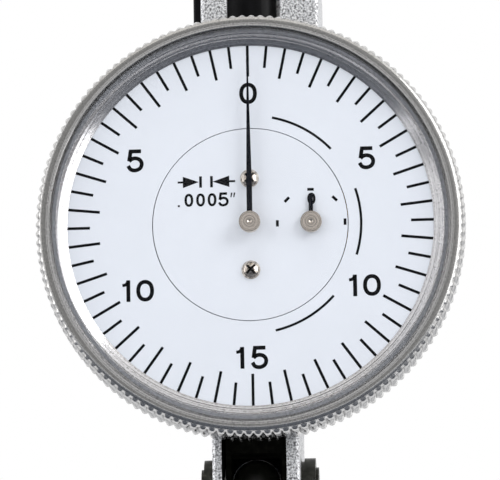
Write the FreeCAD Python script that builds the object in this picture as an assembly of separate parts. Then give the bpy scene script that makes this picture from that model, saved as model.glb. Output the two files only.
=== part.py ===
"""Horizontal dial test indicator: lever gauge with a 0-15-0 dial and a turn counter.

The model is built about the middle of the dial face: X to the right, Y into the
depth and Z up, so the dial faces -Y and the contact point hangs at -Z.  Each
piece is then moved back to the part's own origin, which is the middle of the
crown of the back dovetail.  Lengths are in millimetres, angles in degrees.
"""
import FreeCAD, Part
import math
import os

os.makedirs("parts", exist_ok=True)
V = FreeCAD.Vector
ALONG_X, ALONG_Y, ALONG_Z = V(1, 0, 0), V(0, 1, 0), V(0, 0, 1)

# ---------------------------------------------------------------- clearances
RUN = 0.03                # radial clearance of a shaft that turns in its bearing
TURN_GAP = 0.06           # radial clearance of the bezel on the case
END_PLAY = 0.1            # axial gap between an arbor's shoulder and its jewel
FIT = 0.05                # gap round a cover or plate let into a pocket
SCREW_GAP = 0.06          # radial clearance of a screw through a plate

# ---------------------------------------------------------------- dial and bezel
SIGHT_R = 16.5            # dial seen inside the bezel
DIAL_LAP = 0.56           # how far the sight edge covers the dial ring
DIAL_FIT = 0.02           # radial clearance of the dial ring in the bezel
DIAL_THICK = 0.4
DISC_R = 8.79             # fixed centre disc of the dial
RING_GAP = 0.08           # gap between the fixed disc and the turning dial ring
HOLE_GAP = 0.25           # radial gap of an arbor through the dial
CLAMP_WIDTH = 0.76        # ring that holds the dial ring in the bezel
CLAMP_THICK = 0.4

CONE_WIDTH = 1.0          # sight cone, from the dial's edge to the ledge
LEDGE_WIDTH = 0.42        # ledge that carries the seal and the crystal
LIP_WIDTH = 0.43          # flat front lip with the seat's bevel
LIP_TURN = 0.6            # rounding between the lip and the front shoulder
SEAT_BEVEL = 0.12
SEAT_BEVEL_DEPTH = 0.1
LIP_EDGE = 0.08           # thickness of the sight edge over the dial
LEDGE_Y = -0.62
BEZEL_FRONT_Y = -1.4
SHOULDER_Y = -0.85
BEZEL_GAP = 0.3           # between the back of the bezel and the body
KNURL_RISE = 0.5          # coin edge over the front shoulder
KNURL_DEPTH = 0.34
KNURL_TEETH = 144
KNURL_TIP_SHARE = 0.28    # flat tip's share of the pitch
KNURL_CHAMFER = 0.45
KNURL_RAMP = 0.75         # length of the teeth's sloped front ends
BAND_WALL = 0.3           # how deep the coin edge's band reaches into the ring
BAND_STEP = 0.02          # how far the teeth's front ends stand over the shoulder

CRYSTAL_INSET = 0.42      # from the seat to the crystal's raised edge
CRYSTAL_RIM = 0.43        # thickness of the flange in the bezel
CRYSTAL_WALL = 0.55
CRYSTAL_RISE = 0.33       # straight inner wall below the dome
CRYSTAL_THICK = 0.72
CRYSTAL_CROWN = 0.95      # height of the crystal's dome
CRYSTAL_BEVEL = 0.3
SEAL_THICK = 0.1
SEAL_INSET = 0.05

# ---------------------------------------------------------------- dial case
CASE_FRONT_Y = 0.95
CASE_WALL = 1.1
FLOOR_THICK = 0.8
WIRE_R = 0.25             # bezel spring: an open wire ring
WIRE_GAP = 0.05           # round the wire in the case's groove
WIRE_ROOM = 0.15          # round the wire in the bezel's groove
WIRE_Y = 1.95
WIRE_OPENING = 30.0       # open arc of the wire, degrees
POST_R = 1.1
DISC_SCREW_Z = 4.2
CASE_SCREW_LEFT = (-3.2, 12.0)
CASE_SCREW_RIGHT = (4.65, 12.0)
CASE_SCREW_LOW = (4.65, -8.0)

# ---------------------------------------------------------------- body
BODY_FRONT_Y = 3.3
BODY_DEPTH = 15.0
BODY_TOP_Z = 25.0
HEAD_LEFT, HEAD_RIGHT = -4.4, 6.4
HEAD_BOTTOM_Z = -16.2
NECK_LEFT, NECK_RIGHT = -3.95, 3.9
SHOULDER_LOW_Z = -13.0
SHOULDER_RISE = 2.6
CHANNEL_LEFT, CHANNEL_RIGHT = -3.1, 2.75
CHANNEL_BACK_WALL = 2.8
CHANNEL_TOP_Z = 7.0
BACK_WALL_RISE = 1.6      # end of the channel's back wall over the pivot
TAPER_Z = -15.5           # where the back starts to slope towards the pivot
EDGE = 0.25               # chamfer along the body's edges

DOVETAIL_CROWN = 6.0      # width over the crown
DOVETAIL_HEIGHT = 1.6
DOVETAIL_ANGLE = 60.0
BACK_RAIL_HALF = 11.0
TOP_RAIL_LENGTH = 11.0

RECESS_LEFT, RECESS_RIGHT = -2.0, 2.9
RECESS_LOW_Z = 10.0
RECESS_TOP_WALL = 1.0     # body left above the recess
RECESS_DEPTH = 2.5
INSERT_SIDE_GAP = 0.4
INSERT_CROWN = 0.8        # bulge of the insert's front
INSERT_SETBACK = 0.4
INSERT_SCREW_DROP = 1.1   # screw below the top of the recess
INSERT_HEAD_DEPTH = 0.75  # counterbore for the screw's head

# ---------------------------------------------------------------- side cover
COVER_THICK = 0.7
COVER_FRONT_GAP, COVER_BACK_GAP = 0.6, 0.6
COVER_LOW_Z = -15.9
COVER_TOP_GAP = 0.6
COVER_CORNER_R = 1.2
COVER_CHAMFER = 0.15
COVER_SCREW_INSET = 1.2
COVER_SCREW_R = 0.4
COVER_HEAD_R = 0.75
COVER_HEAD_GAP = 0.05
COVER_GRIP = 1.1
COVER_SLOT = 0.18         # width and depth of the screws' slots

POCKET_FRONT_WALL, POCKET_BACK_WALL = 1.3, 0.9
POCKET_LOW_Z, POCKET_TOP_Z = -13.9, 9.2
PLATE_THICK = 1.0
PLATE_SCREW_INSET = 1.2
WINDOW_LEDGE = 0.8        # ledge that the movement plate seats on
WINDOW_GAP = 0.3          # from the window to the channel's back wall and roof

# ---------------------------------------------------------------- lever and stylus
AXIS_Y = 9.4              # depth of the pivot, sector and crown axes
PIVOT_Z = -22.5
BALL_R = 2.38             # swivel ball that holds the stylus
LEG_GAP = 0.155           # between the fork and each cheek
LEG_THICK = 0.45
LEG_HALF_DEPTH = 1.5
WASHER_THICK = 0.1
WASHER_GAP = 0.02
WASHER_R = 0.88
SHAFT_R = 0.5
BRIDGE_GAP = 0.35         # between the ball and the fork's bridge
BRIDGE_HEIGHT = 1.35
BRIDGE_HALF_DEPTH = 1.9
ARM_THICK = 1.0
ARM_HALF_DEPTH = 1.0
ARM_FLARE = 0.4           # how much wider the arm is at the bridge, on each side
PIN_R = 0.4
PIN_END = 0.25            # how far the pin passes the sector

CAP_BOSS_R = 1.6
CAP_FLANGE_R = 2.38
CAP_FLANGE_THICK = 1.0
CAP_NOSE_R = 1.53
CAP_NOSE_THICK = 0.28
CAP_SLOT = 0.4
CAP_SLOT_DEPTH = 0.55
CAP_BACK_GAP = 0.05       # from the boss's end to the channel
SHIM_THICK = 0.3
SHIM_R = 2.1
SHAFT_REACH = 0.5         # how far the shaft goes into each bearing cap's flange

SEAT_FLAT = 0.2           # height cut from the ball for the collar's seat
STEM_CLEAR = 0.4          # between the stem's thread and the shaft's bore
STEM_R = 0.6
STEM_TIP_R = 0.42
STEM_COLLAR_R = 0.95
STEM_COLLAR_FLAT = 0.78   # half-width over the collar's flats
STEM_COLLAR_LENGTH = 1.6
STEM_END = 0.75           # where the stem meets the contact ball
TIP_R = 1.0

# ---------------------------------------------------------------- gear train
SECTOR_TEETH, CROWN_PINION_TEETH = 140, 14
CROWN_TEETH, CENTRE_PINION_TEETH = 48, 16
COUNTER_TEETH, COUNTER_PINION_TEETH = 48, 12
SECTOR_MODULE = 0.16
CROWN_MODULE = 0.12
WHEEL_ADDENDUM, WHEEL_DEDENDUM, WHEEL_FULLNESS = 0.9, 1.2, 0.40
LEAF_ADDENDUM, LEAF_DEDENDUM, LEAF_FULLNESS = 0.8, 1.35, 0.36
TOOTH_TIP_SHARE = 0.45    # tip width over the width at the pitch circle
LEVER_GAIN = 4.5          # sector angle over lever angle
TRAVEL_PER_TURN = 0.762   # contact travel for one turn of the hand (0.030 in)
COUNTER_X = 5.5           # distance between the two hand arbors
SECTOR_HALF_ANGLE = 16.0
SECTOR_CORE_R = 1.0       # where the sector's blade starts
SECTOR_HUB_R = 1.3
SECTOR_RIM = 1.6          # rim left outside the window
SECTOR_WINDOW_LOW = 3.36
SECTOR_SPOKE_SHARE = 0.55
COLLAR_WALL = 0.42        # hub wall round a train arbor
COLLAR_STEP = 0.3         # how far a hub stands out on each side
TAIL_WALL = 0.5           # beside the slot in the sector's tail
TAIL_END = 0.6
SLOT_GAP = 0.03           # clearance of the drive pin on each side of its slot
SLOT_HALF = 0.15          # half of the slot's straight length

SECTOR_PLANE_X, SECTOR_THICK = 1.5, 0.6
PINION_OVERHANG = 0.2     # pinion past the wheel's faces
CROWN_DISC_THICK = 0.75
CROWN_DISH = 0.3
CROWN_TOOTH_INNER, CROWN_TOOTH_OUTER = 2.55, 3.2
CROWN_ROOT_GAP = 0.16     # from the crown's tooth roots to the pinion's pitch circle
PINION_LENGTH = 1.0
TRAIN_ARBOR_R = 0.35
PIVOT_R = 0.2
PIVOT_LENGTH = 0.6
JEWEL_R = 0.8
JEWEL_THICK = 0.8
BUSH_WALL = 0.6
BUSH_PROUD = 0.3          # centre bush in front of the case's floor
BUSH_GAP = 0.4            # between the counter's wheel and its bush

CENTRE_ARBOR_R = 0.35
COUNTER_ARBOR_R = 0.3
COUNTER_WHEEL_Y = 1.1
COUNTER_WHEEL_THICK = 0.4
COUNTER_PINION_OVERHANG = 0.1
WHEEL_HOLES = 5
WHEEL_HOLE_R = 1.05
WHEEL_HOLE_PITCH_R = 2.42
REAR_PIVOT_R = 0.15
REAR_JEWEL_R = 0.45
BRIDGE_CLEAR = 0.28       # from the centre pinion to the bridge that carries the rear jewel
BRIDGE_ARM_THICK = 0.7
BRIDGE_ARM_WALL = 0.35    # round the rear jewel
ARM_LEFT, ARM_RIGHT = -0.65, 0.95
BRIDGE_FOOT = 0.8
BRIDGE_FOOT_HALF = 2.6
FOOT_FRONT, FOOT_BACK = 1.2, 1.8
BRIDGE_SCREW_R = 0.6
BRIDGE_HEAD_THICK = 0.45
BRIDGE_SLOT = 0.16

HAIRSPRING_Y = 4.2
HAIRSPRING_WIDTH = 0.6
HAIRSPRING_STRIP = 0.08
HAIRSPRING_TURNS = 4
HAIRSPRING_INNER_R, HAIRSPRING_OUTER_R = 0.9, 2.3
SPIRAL_STEPS = 12         # points on each turn of the spiral
COLLET_R = 0.8
COLLET_EDGE = 0.1
STUD_R = 0.28

# ---------------------------------------------------------------- hands
HAND_Y = -0.9             # front face of the main hand
HAND_THICK = 0.1
HAND_TIP_GAP = 1.6        # from the hand's tip to the sight edge
HAND_ROOT_WIDTH, HAND_TIP_WIDTH = 0.5, 0.1
HAND_TAPER_R = 3.5
HUB_R = 0.975
HUB_THICK = 0.55
HUB_BACK_Y = -0.3         # end of the main hub's collar
HUB_CHAMFER = 0.08
HUB_WALL = 0.3            # collar behind the hand
HUB_NECK = 0.12           # wall in the hand's hole
HUB_COVER = 0.15          # hub left over the arbor's end
EYE_INSET = 0.16          # from the hub's edge to the hand's round eye
COUNTER_HAND_Y = -0.3
COUNTER_HUB_THICK = 0.38
COUNTER_HUB_BACK_Y = -0.08
COUNTER_HAND_LENGTH = 2.65
COUNTER_HAND_WIDTH = 0.38
HUB_DIMPLE_R = 0.2
HUB_DIMPLE_DEPTH = 0.14
HUB_DIMPLE_END_R = 0.05

# ---------------------------------------------------------------- small screws
PAN_HEAD_R = 0.85
PAN_HEAD_THICK = 0.55
PAN_DOME_R = 0.98
CROSS_WIDTH, CROSS_HALF = 0.22, 0.53
CROSS_DEPTH = 0.36
SMALL_SCREW_R = 0.45
SCREW_GRIP = 1.8
PLATE_HEAD_THICK = 0.45
PLATE_SLOT = 0.2

OVER = 1.0                # how far a cutting tool passes the face that it cuts
LAP = 0.1                 # how far a joined shape reaches into its neighbour

# ---------------------------------------------------------------- worked out
BEZEL_BORE_R = SIGHT_R + DIAL_LAP
LEDGE_R = SIGHT_R + CONE_WIDTH
CRYSTAL_SEAT_R = LEDGE_R + LEDGE_WIDTH
CRYSTAL_WALL_R = CRYSTAL_SEAT_R - CRYSTAL_INSET
LIP_R = CRYSTAL_SEAT_R + LIP_WIDTH
SHOULDER_R = LIP_R + LIP_TURN
KNURL_R = SHOULDER_R + KNURL_RISE
BEZEL_BACK_Y = BODY_FRONT_Y - BEZEL_GAP
CASE_R = BEZEL_BORE_R - TURN_GAP
FLOOR_Y = BODY_FRONT_Y - FLOOR_THICK
HAND_LENGTH = SIGHT_R - HAND_TIP_GAP

BODY_BACK_Y = BODY_FRONT_Y + BODY_DEPTH
CROWN_FACE_Y = BODY_BACK_Y + DOVETAIL_HEIGHT
CHANNEL_BACK_Y = BODY_BACK_Y - CHANNEL_BACK_WALL
CHANNEL_MID_X = (CHANNEL_LEFT + CHANNEL_RIGHT) / 2
BACK_WALL_LOW_Z = PIVOT_Z + BACK_WALL_RISE
POCKET_FRONT_Y = BODY_FRONT_Y + POCKET_FRONT_WALL
POCKET_BACK_Y = BODY_BACK_Y - POCKET_BACK_WALL
PLATE_INNER_X = HEAD_LEFT + PLATE_THICK
RECESS_TOP_Z = BODY_TOP_Z - RECESS_TOP_WALL
INSERT_SCREW_Z = RECESS_TOP_Z - INSERT_SCREW_DROP
COVER_TOP_Z = BODY_TOP_Z - COVER_TOP_GAP

LEG_OUTER = (CHANNEL_RIGHT - CHANNEL_LEFT) / 2 - LEG_GAP
LEG_INNER = LEG_OUTER - LEG_THICK
BALL_FLAT = LEG_INNER - WASHER_THICK - WASHER_GAP

CROWN_GEAR_R = CROWN_MODULE * CROWN_TEETH / 2
CENTRE_PINION_R = CROWN_MODULE * CENTRE_PINION_TEETH / 2
SECTOR_R = SECTOR_MODULE * SECTOR_TEETH / 2
CROWN_PINION_R = SECTOR_MODULE * CROWN_PINION_TEETH / 2
COUNTER_MODULE = 2 * COUNTER_X / (COUNTER_TEETH + COUNTER_PINION_TEETH)
SECTOR_Z = -(SECTOR_R + CROWN_PINION_R)
PIN_REACH = (SECTOR_Z - PIVOT_Z) / (LEVER_GAIN + 1)
PIN_Z = SECTOR_Z - PIN_REACH
TRAIN_GAIN = (LEVER_GAIN * SECTOR_TEETH / CROWN_PINION_TEETH
              * CROWN_TEETH / CENTRE_PINION_TEETH)
STYLUS_LENGTH = TRAIN_GAIN * TRAVEL_PER_TURN / (2 * math.pi)
TIP_Z = PIVOT_Z - STYLUS_LENGTH
MESH_Y = AXIS_Y - CROWN_GEAR_R
BRIDGE_ARM_Y = MESH_Y + PINION_LENGTH / 2 + BRIDGE_CLEAR


# ================================================================ basic solids
def box(x0, x1, y0, y1, z0, z1):
    return Part.makeBox(x1 - x0, y1 - y0, z1 - z0, V(x0, y0, z0))


def rod_y(radius, y0, y1, x=0.0, z=0.0):
    return Part.makeCylinder(radius, y1 - y0, V(x, y0, z), ALONG_Y)


def tube_y(outer, inner, y0, y1, x=0.0, z=0.0):
    return rod_y(outer, y0, y1, x, z).cut(rod_y(inner, y0 - OVER, y1 + OVER, x, z))


def rod_x(radius, x0, x1, y=AXIS_Y, z=0.0):
    return Part.makeCylinder(radius, x1 - x0, V(x0, y, z), ALONG_X)


def flat_face(points):
    return Part.Face(Part.makePolygon(points))


def prism_x(outline, x0, x1):
    """Solid between x0 and x1 whose section is the (y, z) outline."""
    points = [V(x0, y, z) for y, z in outline + outline[:1]]
    return flat_face(points).extrude(V(x1 - x0, 0, 0))


def prism_y(outline, y0, y1):
    """Solid between y0 and y1 whose section is the (x, z) outline."""
    points = [V(x, y0, z) for x, z in outline + outline[:1]]
    return flat_face(points).extrude(V(0, y1 - y0, 0))


def prism_z(outline, z0, z1):
    """Solid between z0 and z1 whose section is the (x, y) outline."""
    points = [V(x, y, z0) for x, y in outline + outline[:1]]
    return flat_face(points).extrude(V(0, 0, z1 - z0))


def turned(edges):
    """Solid of revolution about the dial's axis from edges in the X-Y plane."""
    return Part.Face(Part.Wire(edges)).revolve(V(0, 0, 0), ALONG_Y, 360)


def line(start, end):
    return Part.makeLine(V(start[0], start[1], 0), V(end[0], end[1], 0))


def arc(start, middle, end):
    return Part.Arc(*[V(r, y, 0) for r, y in (start, middle, end)]).toShape()


def spin(shape, axis, angle, centre=V(0, 0, 0)):
    turned_shape = shape.copy()
    turned_shape.rotate(centre, axis, angle)
    return turned_shape


def ring_of(shape, axis, count, centre=V(0, 0, 0)):
    return [spin(shape, axis, 360 * i / count, centre) for i in range(count)]


# ================================================================ gears
def tooth_points(teeth, module, addendum, dedendum, fullness, index, phase):
    """One leaf with radial flanks and a narrowed tip, as (radius, angle) pairs."""
    pitch_r = module * teeth / 2
    half = fullness * math.pi / teeth
    tip_half = TOOTH_TIP_SHARE * half
    middle = 2 * math.pi * (index + phase) / teeth
    root_r = pitch_r - dedendum * module
    tip_r = pitch_r + addendum * module
    return [(root_r, middle - half), (pitch_r, middle - half),
            (tip_r, middle - tip_half), (tip_r, middle + tip_half),
            (pitch_r, middle + half), (root_r, middle + half)]


def gear_outline(teeth, module, pinion=False, phase=0.0):
    """Closed outline of a full gear; angle 0 lies along the first coordinate."""
    shape = (WHEEL_ADDENDUM, WHEEL_DEDENDUM, WHEEL_FULLNESS)
    if pinion:
        shape = (LEAF_ADDENDUM, LEAF_DEDENDUM, LEAF_FULLNESS)
    outline = []
    for index in range(teeth):
        for r, a in tooth_points(teeth, module, *shape, index, phase):
            outline.append((r * math.cos(a), r * math.sin(a)))
    return outline


# ================================================================ bezel group
def coin_outline(root_r, tip_r, y):
    """Outline of the coin edge at depth y: one valley and a flat tip to each tooth."""
    pitch = 2 * math.pi / KNURL_TEETH
    points = []
    for i in range(KNURL_TEETH):
        for share, radius in ((0, root_r), (0.5 - KNURL_TIP_SHARE / 2, tip_r),
                              (0.5 + KNURL_TIP_SHARE / 2, tip_r)):
            angle = (i + share) * pitch
            points.append(V(radius * math.cos(angle), y, radius * math.sin(angle)))
    return points + points[:1]


def coin_band():
    """Ring of flat-topped teeth with sharp valleys and sloped ends."""
    root_r = KNURL_R - KNURL_DEPTH
    front_r = SHOULDER_R + BAND_STEP
    stations = [(front_r, front_r, SHOULDER_Y), (root_r, KNURL_R, SHOULDER_Y + KNURL_RAMP),
                (root_r, KNURL_R, BEZEL_BACK_Y - KNURL_CHAMFER), (root_r, root_r, BEZEL_BACK_Y)]
    outlines = [coin_outline(*station) for station in stations]
    faces = [flat_face(outlines[0]), flat_face(outlines[-1])]
    for level, (near, far) in enumerate(zip(outlines, outlines[1:])):
        for i in range(3 * KNURL_TEETH):
            corners = [near[i], near[i + 1], far[i + 1], far[i]]
            if level == 1 or i % 3 == 1:
                faces.append(flat_face(corners + corners[:1]))
            else:
                faces.append(flat_face([corners[0], corners[1], corners[2], corners[0]]))
                faces.append(flat_face([corners[0], corners[2], corners[3], corners[0]]))
    band = Part.makeSolid(Part.makeShell(faces))
    return band.cut(rod_y(SHOULDER_R - BAND_WALL, SHOULDER_Y - OVER, BEZEL_BACK_Y + OVER))


def bezel_ring():
    """Turned ring: sight cone, crystal seat, front lip, coin edge and spring groove."""
    seat_front = BEZEL_FRONT_Y + SEAT_BEVEL_DEPTH
    seat_edge = CRYSTAL_SEAT_R + SEAT_BEVEL
    turn = math.radians(60)
    middle = (LIP_R + LIP_TURN * math.sin(turn),
              BEZEL_FRONT_Y + (SHOULDER_Y - BEZEL_FRONT_Y) * (1 - math.cos(turn)))
    profile = [(SHOULDER_R, SHOULDER_Y), (SHOULDER_R, BEZEL_BACK_Y),
               (BEZEL_BORE_R, BEZEL_BACK_Y), (BEZEL_BORE_R, 0), (SIGHT_R, 0),
               (SIGHT_R, -LIP_EDGE), (LEDGE_R, LEDGE_Y), (CRYSTAL_SEAT_R, LEDGE_Y),
               (CRYSTAL_SEAT_R, seat_front), (seat_edge, BEZEL_FRONT_Y),
               (LIP_R, BEZEL_FRONT_Y)]
    edges = [line(a, b) for a, b in zip(profile, profile[1:])]
    edges.append(arc(profile[-1], middle, profile[0]))
    ring = turned(edges).fuse(coin_band())
    groove = tube_y(CASE_R + WIRE_R + WIRE_ROOM, BEZEL_BORE_R - OVER,
                    WIRE_Y - WIRE_R - WIRE_ROOM, WIRE_Y + WIRE_R + WIRE_ROOM)
    return ring.cut(groove)


def cap_radius(half_width, height):
    """Radius of the sphere whose cap has this half-width and height."""
    return (half_width ** 2 + height ** 2) / (2 * height)


def domed_rod(radius, edge_y, back_y):
    """Round block with a domed front; edge_y is the front at the block's edge."""
    dome_r = cap_radius(CRYSTAL_WALL_R, CRYSTAL_CROWN)
    drop = dome_r - math.sqrt(dome_r ** 2 - radius ** 2)
    front = edge_y - drop
    dome = Part.makeSphere(dome_r, V(0, front + dome_r, 0))
    return rod_y(radius, front - OVER, back_y).common(dome)


def crystal():
    """Domed acrylic window with a raised edge and a flange in the bezel's seat."""
    back = LEDGE_Y - SEAL_THICK
    inner_r = CRYSTAL_WALL_R - CRYSTAL_WALL
    inner_y = back - CRYSTAL_RISE
    dome = domed_rod(CRYSTAL_WALL_R, inner_y - CRYSTAL_THICK, back)
    brim = [e for e in dome.Edges if e.BoundBox.YMax < back - CRYSTAL_RIM]
    dome = dome.makeChamfer(CRYSTAL_BEVEL, brim)
    flange = rod_y(CRYSTAL_SEAT_R - TURN_GAP, back - CRYSTAL_RIM, back)
    return dome.fuse(flange).cut(domed_rod(inner_r, inner_y, back + OVER))


def crystal_seal():
    return tube_y(CRYSTAL_SEAT_R - TURN_GAP, LEDGE_R + SEAL_INSET, LEDGE_Y - SEAL_THICK,
                  LEDGE_Y)


def dial_ring():
    return tube_y(BEZEL_BORE_R - DIAL_FIT, DISC_R + RING_GAP, 0, DIAL_THICK)


def dial_clamp_ring():
    return tube_y(BEZEL_BORE_R - DIAL_FIT, BEZEL_BORE_R - CLAMP_WIDTH,
                  DIAL_THICK, DIAL_THICK + CLAMP_THICK)


# ================================================================ dial case group
def case_screw_places():
    return [CASE_SCREW_LEFT, CASE_SCREW_RIGHT, CASE_SCREW_LOW]


def dial_case():
    """Shallow cup behind the dial, with two posts for the fixed dial disc."""
    cup = tube_y(CASE_R, CASE_R - CASE_WALL, CASE_FRONT_Y, BODY_FRONT_Y)
    cup = cup.fuse(rod_y(CASE_R - CASE_WALL / 2, FLOOR_Y, BODY_FRONT_Y))
    for z in (-DISC_SCREW_Z, DISC_SCREW_Z):
        cup = cup.fuse(rod_y(POST_R, DIAL_THICK, FLOOR_Y + FLOOR_THICK / 2, 0, z))
        cup = cup.cut(rod_y(SMALL_SCREW_R, 0, DIAL_THICK + SCREW_GRIP, 0, z))
    cup = cup.cut(rod_y(centre_bush_r(), 0, BODY_FRONT_Y + OVER))
    cup = cup.cut(rod_y(counter_bush_r(), 0, BODY_FRONT_Y + OVER, COUNTER_X))
    for x, z in case_screw_places():
        cup = cup.cut(rod_y(SMALL_SCREW_R + SCREW_GAP, 0, BODY_FRONT_Y + OVER, x, z))
    half = WIRE_R + WIRE_GAP
    groove = tube_y(CASE_R + OVER, CASE_R - half, WIRE_Y - half, WIRE_Y + half)
    return cup.cut(groove)


def bezel_spring():
    ring = Part.makeTorus(CASE_R, WIRE_R, V(0, WIRE_Y, 0), ALONG_Y)
    reach = CASE_R + WIRE_R + OVER
    half = math.radians(WIRE_OPENING / 2)
    wedge = prism_y([(0, 0), (reach * math.cos(half), -reach * math.sin(half)),
                     (reach * math.cos(half), reach * math.sin(half))],
                    WIRE_Y - OVER, WIRE_Y + OVER)
    return ring.cut(wedge)


def dial_centre_disc():
    disc = rod_y(DISC_R, 0, DIAL_THICK)
    back = DIAL_THICK + OVER
    disc = disc.cut(rod_y(CENTRE_ARBOR_R + HOLE_GAP, -OVER, back))
    disc = disc.cut(rod_y(COUNTER_ARBOR_R + HOLE_GAP, -OVER, back, COUNTER_X))
    for z in (-DISC_SCREW_Z, DISC_SCREW_Z):
        disc = disc.cut(rod_y(SMALL_SCREW_R + SCREW_GAP, -OVER, back, 0, z))
    return disc


def pan_screw(length):
    """Cross-recess pan-head screw along +Y, with its head's underside at y = 0."""
    dome = Part.makeSphere(PAN_DOME_R, V(0, PAN_DOME_R - PAN_HEAD_THICK, 0))
    head = rod_y(PAN_HEAD_R, -PAN_HEAD_THICK - OVER, 0).common(dome)
    half = CROSS_WIDTH / 2
    top, floor = -PAN_HEAD_THICK - OVER, CROSS_DEPTH - PAN_HEAD_THICK
    cross = box(-CROSS_HALF, CROSS_HALF, top, floor, -half, half).fuse(
        box(-half, half, top, floor, -CROSS_HALF, CROSS_HALF))
    head = head.cut(spin(cross, ALONG_Y, 45))
    return head.fuse(rod_y(SMALL_SCREW_R, -LAP, length))


def dial_screws():
    screws = []
    for z in (-DISC_SCREW_Z, DISC_SCREW_Z):
        screw = pan_screw(SCREW_GRIP)
        screw.translate(V(0, 0, z))
        screws.append(screw)
    return Part.Compound(screws)


def dial_case_screws():
    screws = []
    for x, z in case_screw_places():
        screw = pan_screw(FLOOR_THICK + SCREW_GRIP)
        screw.translate(V(x, FLOOR_Y, z))
        screws.append(screw)
    return Part.Compound(screws)


# ================================================================ body group
def side_outline():
    """Neck seen from the side: straight front, round end at the pivot, sloped back."""
    end_r = AXIS_Y - BODY_FRONT_Y
    dy, dz = BODY_BACK_Y - AXIS_Y, TAPER_Z - PIVOT_Z
    reach = math.hypot(dy, dz)
    tangent = math.atan2(dz, dy) - math.acos(end_r / reach)
    front = V(0, BODY_FRONT_Y, PIVOT_Z)
    bottom = V(0, AXIS_Y, PIVOT_Z - end_r)
    back = V(0, AXIS_Y + end_r * math.cos(tangent), PIVOT_Z + end_r * math.sin(tangent))
    corners = [back, V(0, BODY_BACK_Y, TAPER_Z), V(0, BODY_BACK_Y, BODY_TOP_Z),
               V(0, BODY_FRONT_Y, BODY_TOP_Z), front]
    edges = [Part.Arc(front, bottom, back).toShape()]
    edges += [Part.makeLine(a, b) for a, b in zip(corners, corners[1:])]
    return Part.Wire(edges)


def neck_block():
    wire = side_outline()
    wire.translate(V(NECK_LEFT, 0, 0))
    neck = Part.Face(wire).extrude(V(NECK_RIGHT - NECK_LEFT, 0, 0))
    return neck.makeChamfer(EDGE, neck.Edges)


def head_block():
    head = box(HEAD_LEFT, HEAD_RIGHT, BODY_FRONT_Y, BODY_BACK_Y, HEAD_BOTTOM_Z, BODY_TOP_Z)
    low = HEAD_BOTTOM_Z - OVER
    wide = HEAD_RIGHT + OVER
    slope = (wide - NECK_RIGHT) / (HEAD_RIGHT - NECK_RIGHT) * SHOULDER_RISE
    shoulder = prism_y([(NECK_RIGHT, low), (wide, low), (wide, SHOULDER_LOW_Z + slope),
                        (NECK_RIGHT, SHOULDER_LOW_Z)],
                       BODY_FRONT_Y - OVER, BODY_BACK_Y + OVER)
    head = head.cut(shoulder)
    return head.makeChamfer(EDGE, head.Edges)


def dovetail_outline(base):
    """Half-widths and heights of the rail; it starts a little inside the body."""
    half = DOVETAIL_CROWN / 2
    foot = half - DOVETAIL_HEIGHT / math.tan(math.radians(DOVETAIL_ANGLE))
    return [(-foot, base - EDGE), (-foot, base), (-half, base + DOVETAIL_HEIGHT),
            (half, base + DOVETAIL_HEIGHT), (foot, base), (foot, base - EDGE)]


def cheek_bores():
    return rod_x(CAP_BOSS_R, NECK_LEFT - OVER, NECK_RIGHT + OVER, AXIS_Y, PIVOT_Z)


def body_frame():
    """One-piece frame: head, neck with two cheeks, and two dovetail rails."""
    body = neck_block().fuse(head_block())
    body = body.fuse(prism_z(dovetail_outline(BODY_BACK_Y), -BACK_RAIL_HALF, BACK_RAIL_HALF))
    middle = (BODY_FRONT_Y + BODY_BACK_Y) / 2
    body = body.fuse(prism_y(dovetail_outline(BODY_TOP_Z), middle - TOP_RAIL_LENGTH / 2,
                             middle + TOP_RAIL_LENGTH / 2))
    below = PIVOT_Z - BODY_DEPTH
    front, back, left = BODY_FRONT_Y - OVER, BODY_BACK_Y + OVER, HEAD_LEFT - OVER
    body = body.cut(box(CHANNEL_LEFT, CHANNEL_RIGHT, front, CHANNEL_BACK_Y, below,
                        CHANNEL_TOP_Z))
    body = body.cut(box(CHANNEL_LEFT, CHANNEL_RIGHT, front, back, below, BACK_WALL_LOW_Z))
    body = body.cut(cheek_bores())
    body = body.cut(box(RECESS_LEFT, RECESS_RIGHT, front, insert_seat_y(), RECESS_LOW_Z,
                        RECESS_TOP_Z))
    body = body.cut(box(left, PLATE_INNER_X, POCKET_FRONT_Y, POCKET_BACK_Y, POCKET_LOW_Z,
                        POCKET_TOP_Z))
    body = body.cut(box(left, CHANNEL_LEFT + LAP, POCKET_FRONT_Y + WINDOW_LEDGE,
                        CHANNEL_BACK_Y - WINDOW_GAP, POCKET_LOW_Z + WINDOW_LEDGE,
                        CHANNEL_TOP_Z - WINDOW_GAP))
    for z in (0.0, SECTOR_Z):
        body = body.cut(rod_x(JEWEL_R, CHANNEL_RIGHT - LAP, CHANNEL_RIGHT + JEWEL_THICK,
                              AXIS_Y, z))
    for hole in body_screw_holes():
        body = body.cut(hole)
    return body


def body_screw_holes():
    """Holes that the screws of the case, covers, plate and bridge are driven into."""
    holes = [rod_y(SMALL_SCREW_R, FLOOR_Y, BODY_FRONT_Y + SCREW_GRIP, x, z)
             for x, z in case_screw_places()]
    holes.append(rod_y(SMALL_SCREW_R, BODY_FRONT_Y, insert_seat_y() + SCREW_GRIP,
                       insert_mid_x(), INSERT_SCREW_Z))
    holes += [rod_x(SMALL_SCREW_R, HEAD_LEFT - OVER, PLATE_INNER_X + SCREW_GRIP, y, z)
              for y, z in plate_screw_places()]
    holes += [rod_x(COVER_SCREW_R, HEAD_LEFT - OVER, HEAD_LEFT + COVER_GRIP, y, z)
              for y, z in cover_screw_places()]
    holes += [Part.makeCylinder(SMALL_SCREW_R, SCREW_GRIP, V(x, y, CHANNEL_TOP_Z))
              for x, y in bridge_screw_places()]
    return holes


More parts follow.
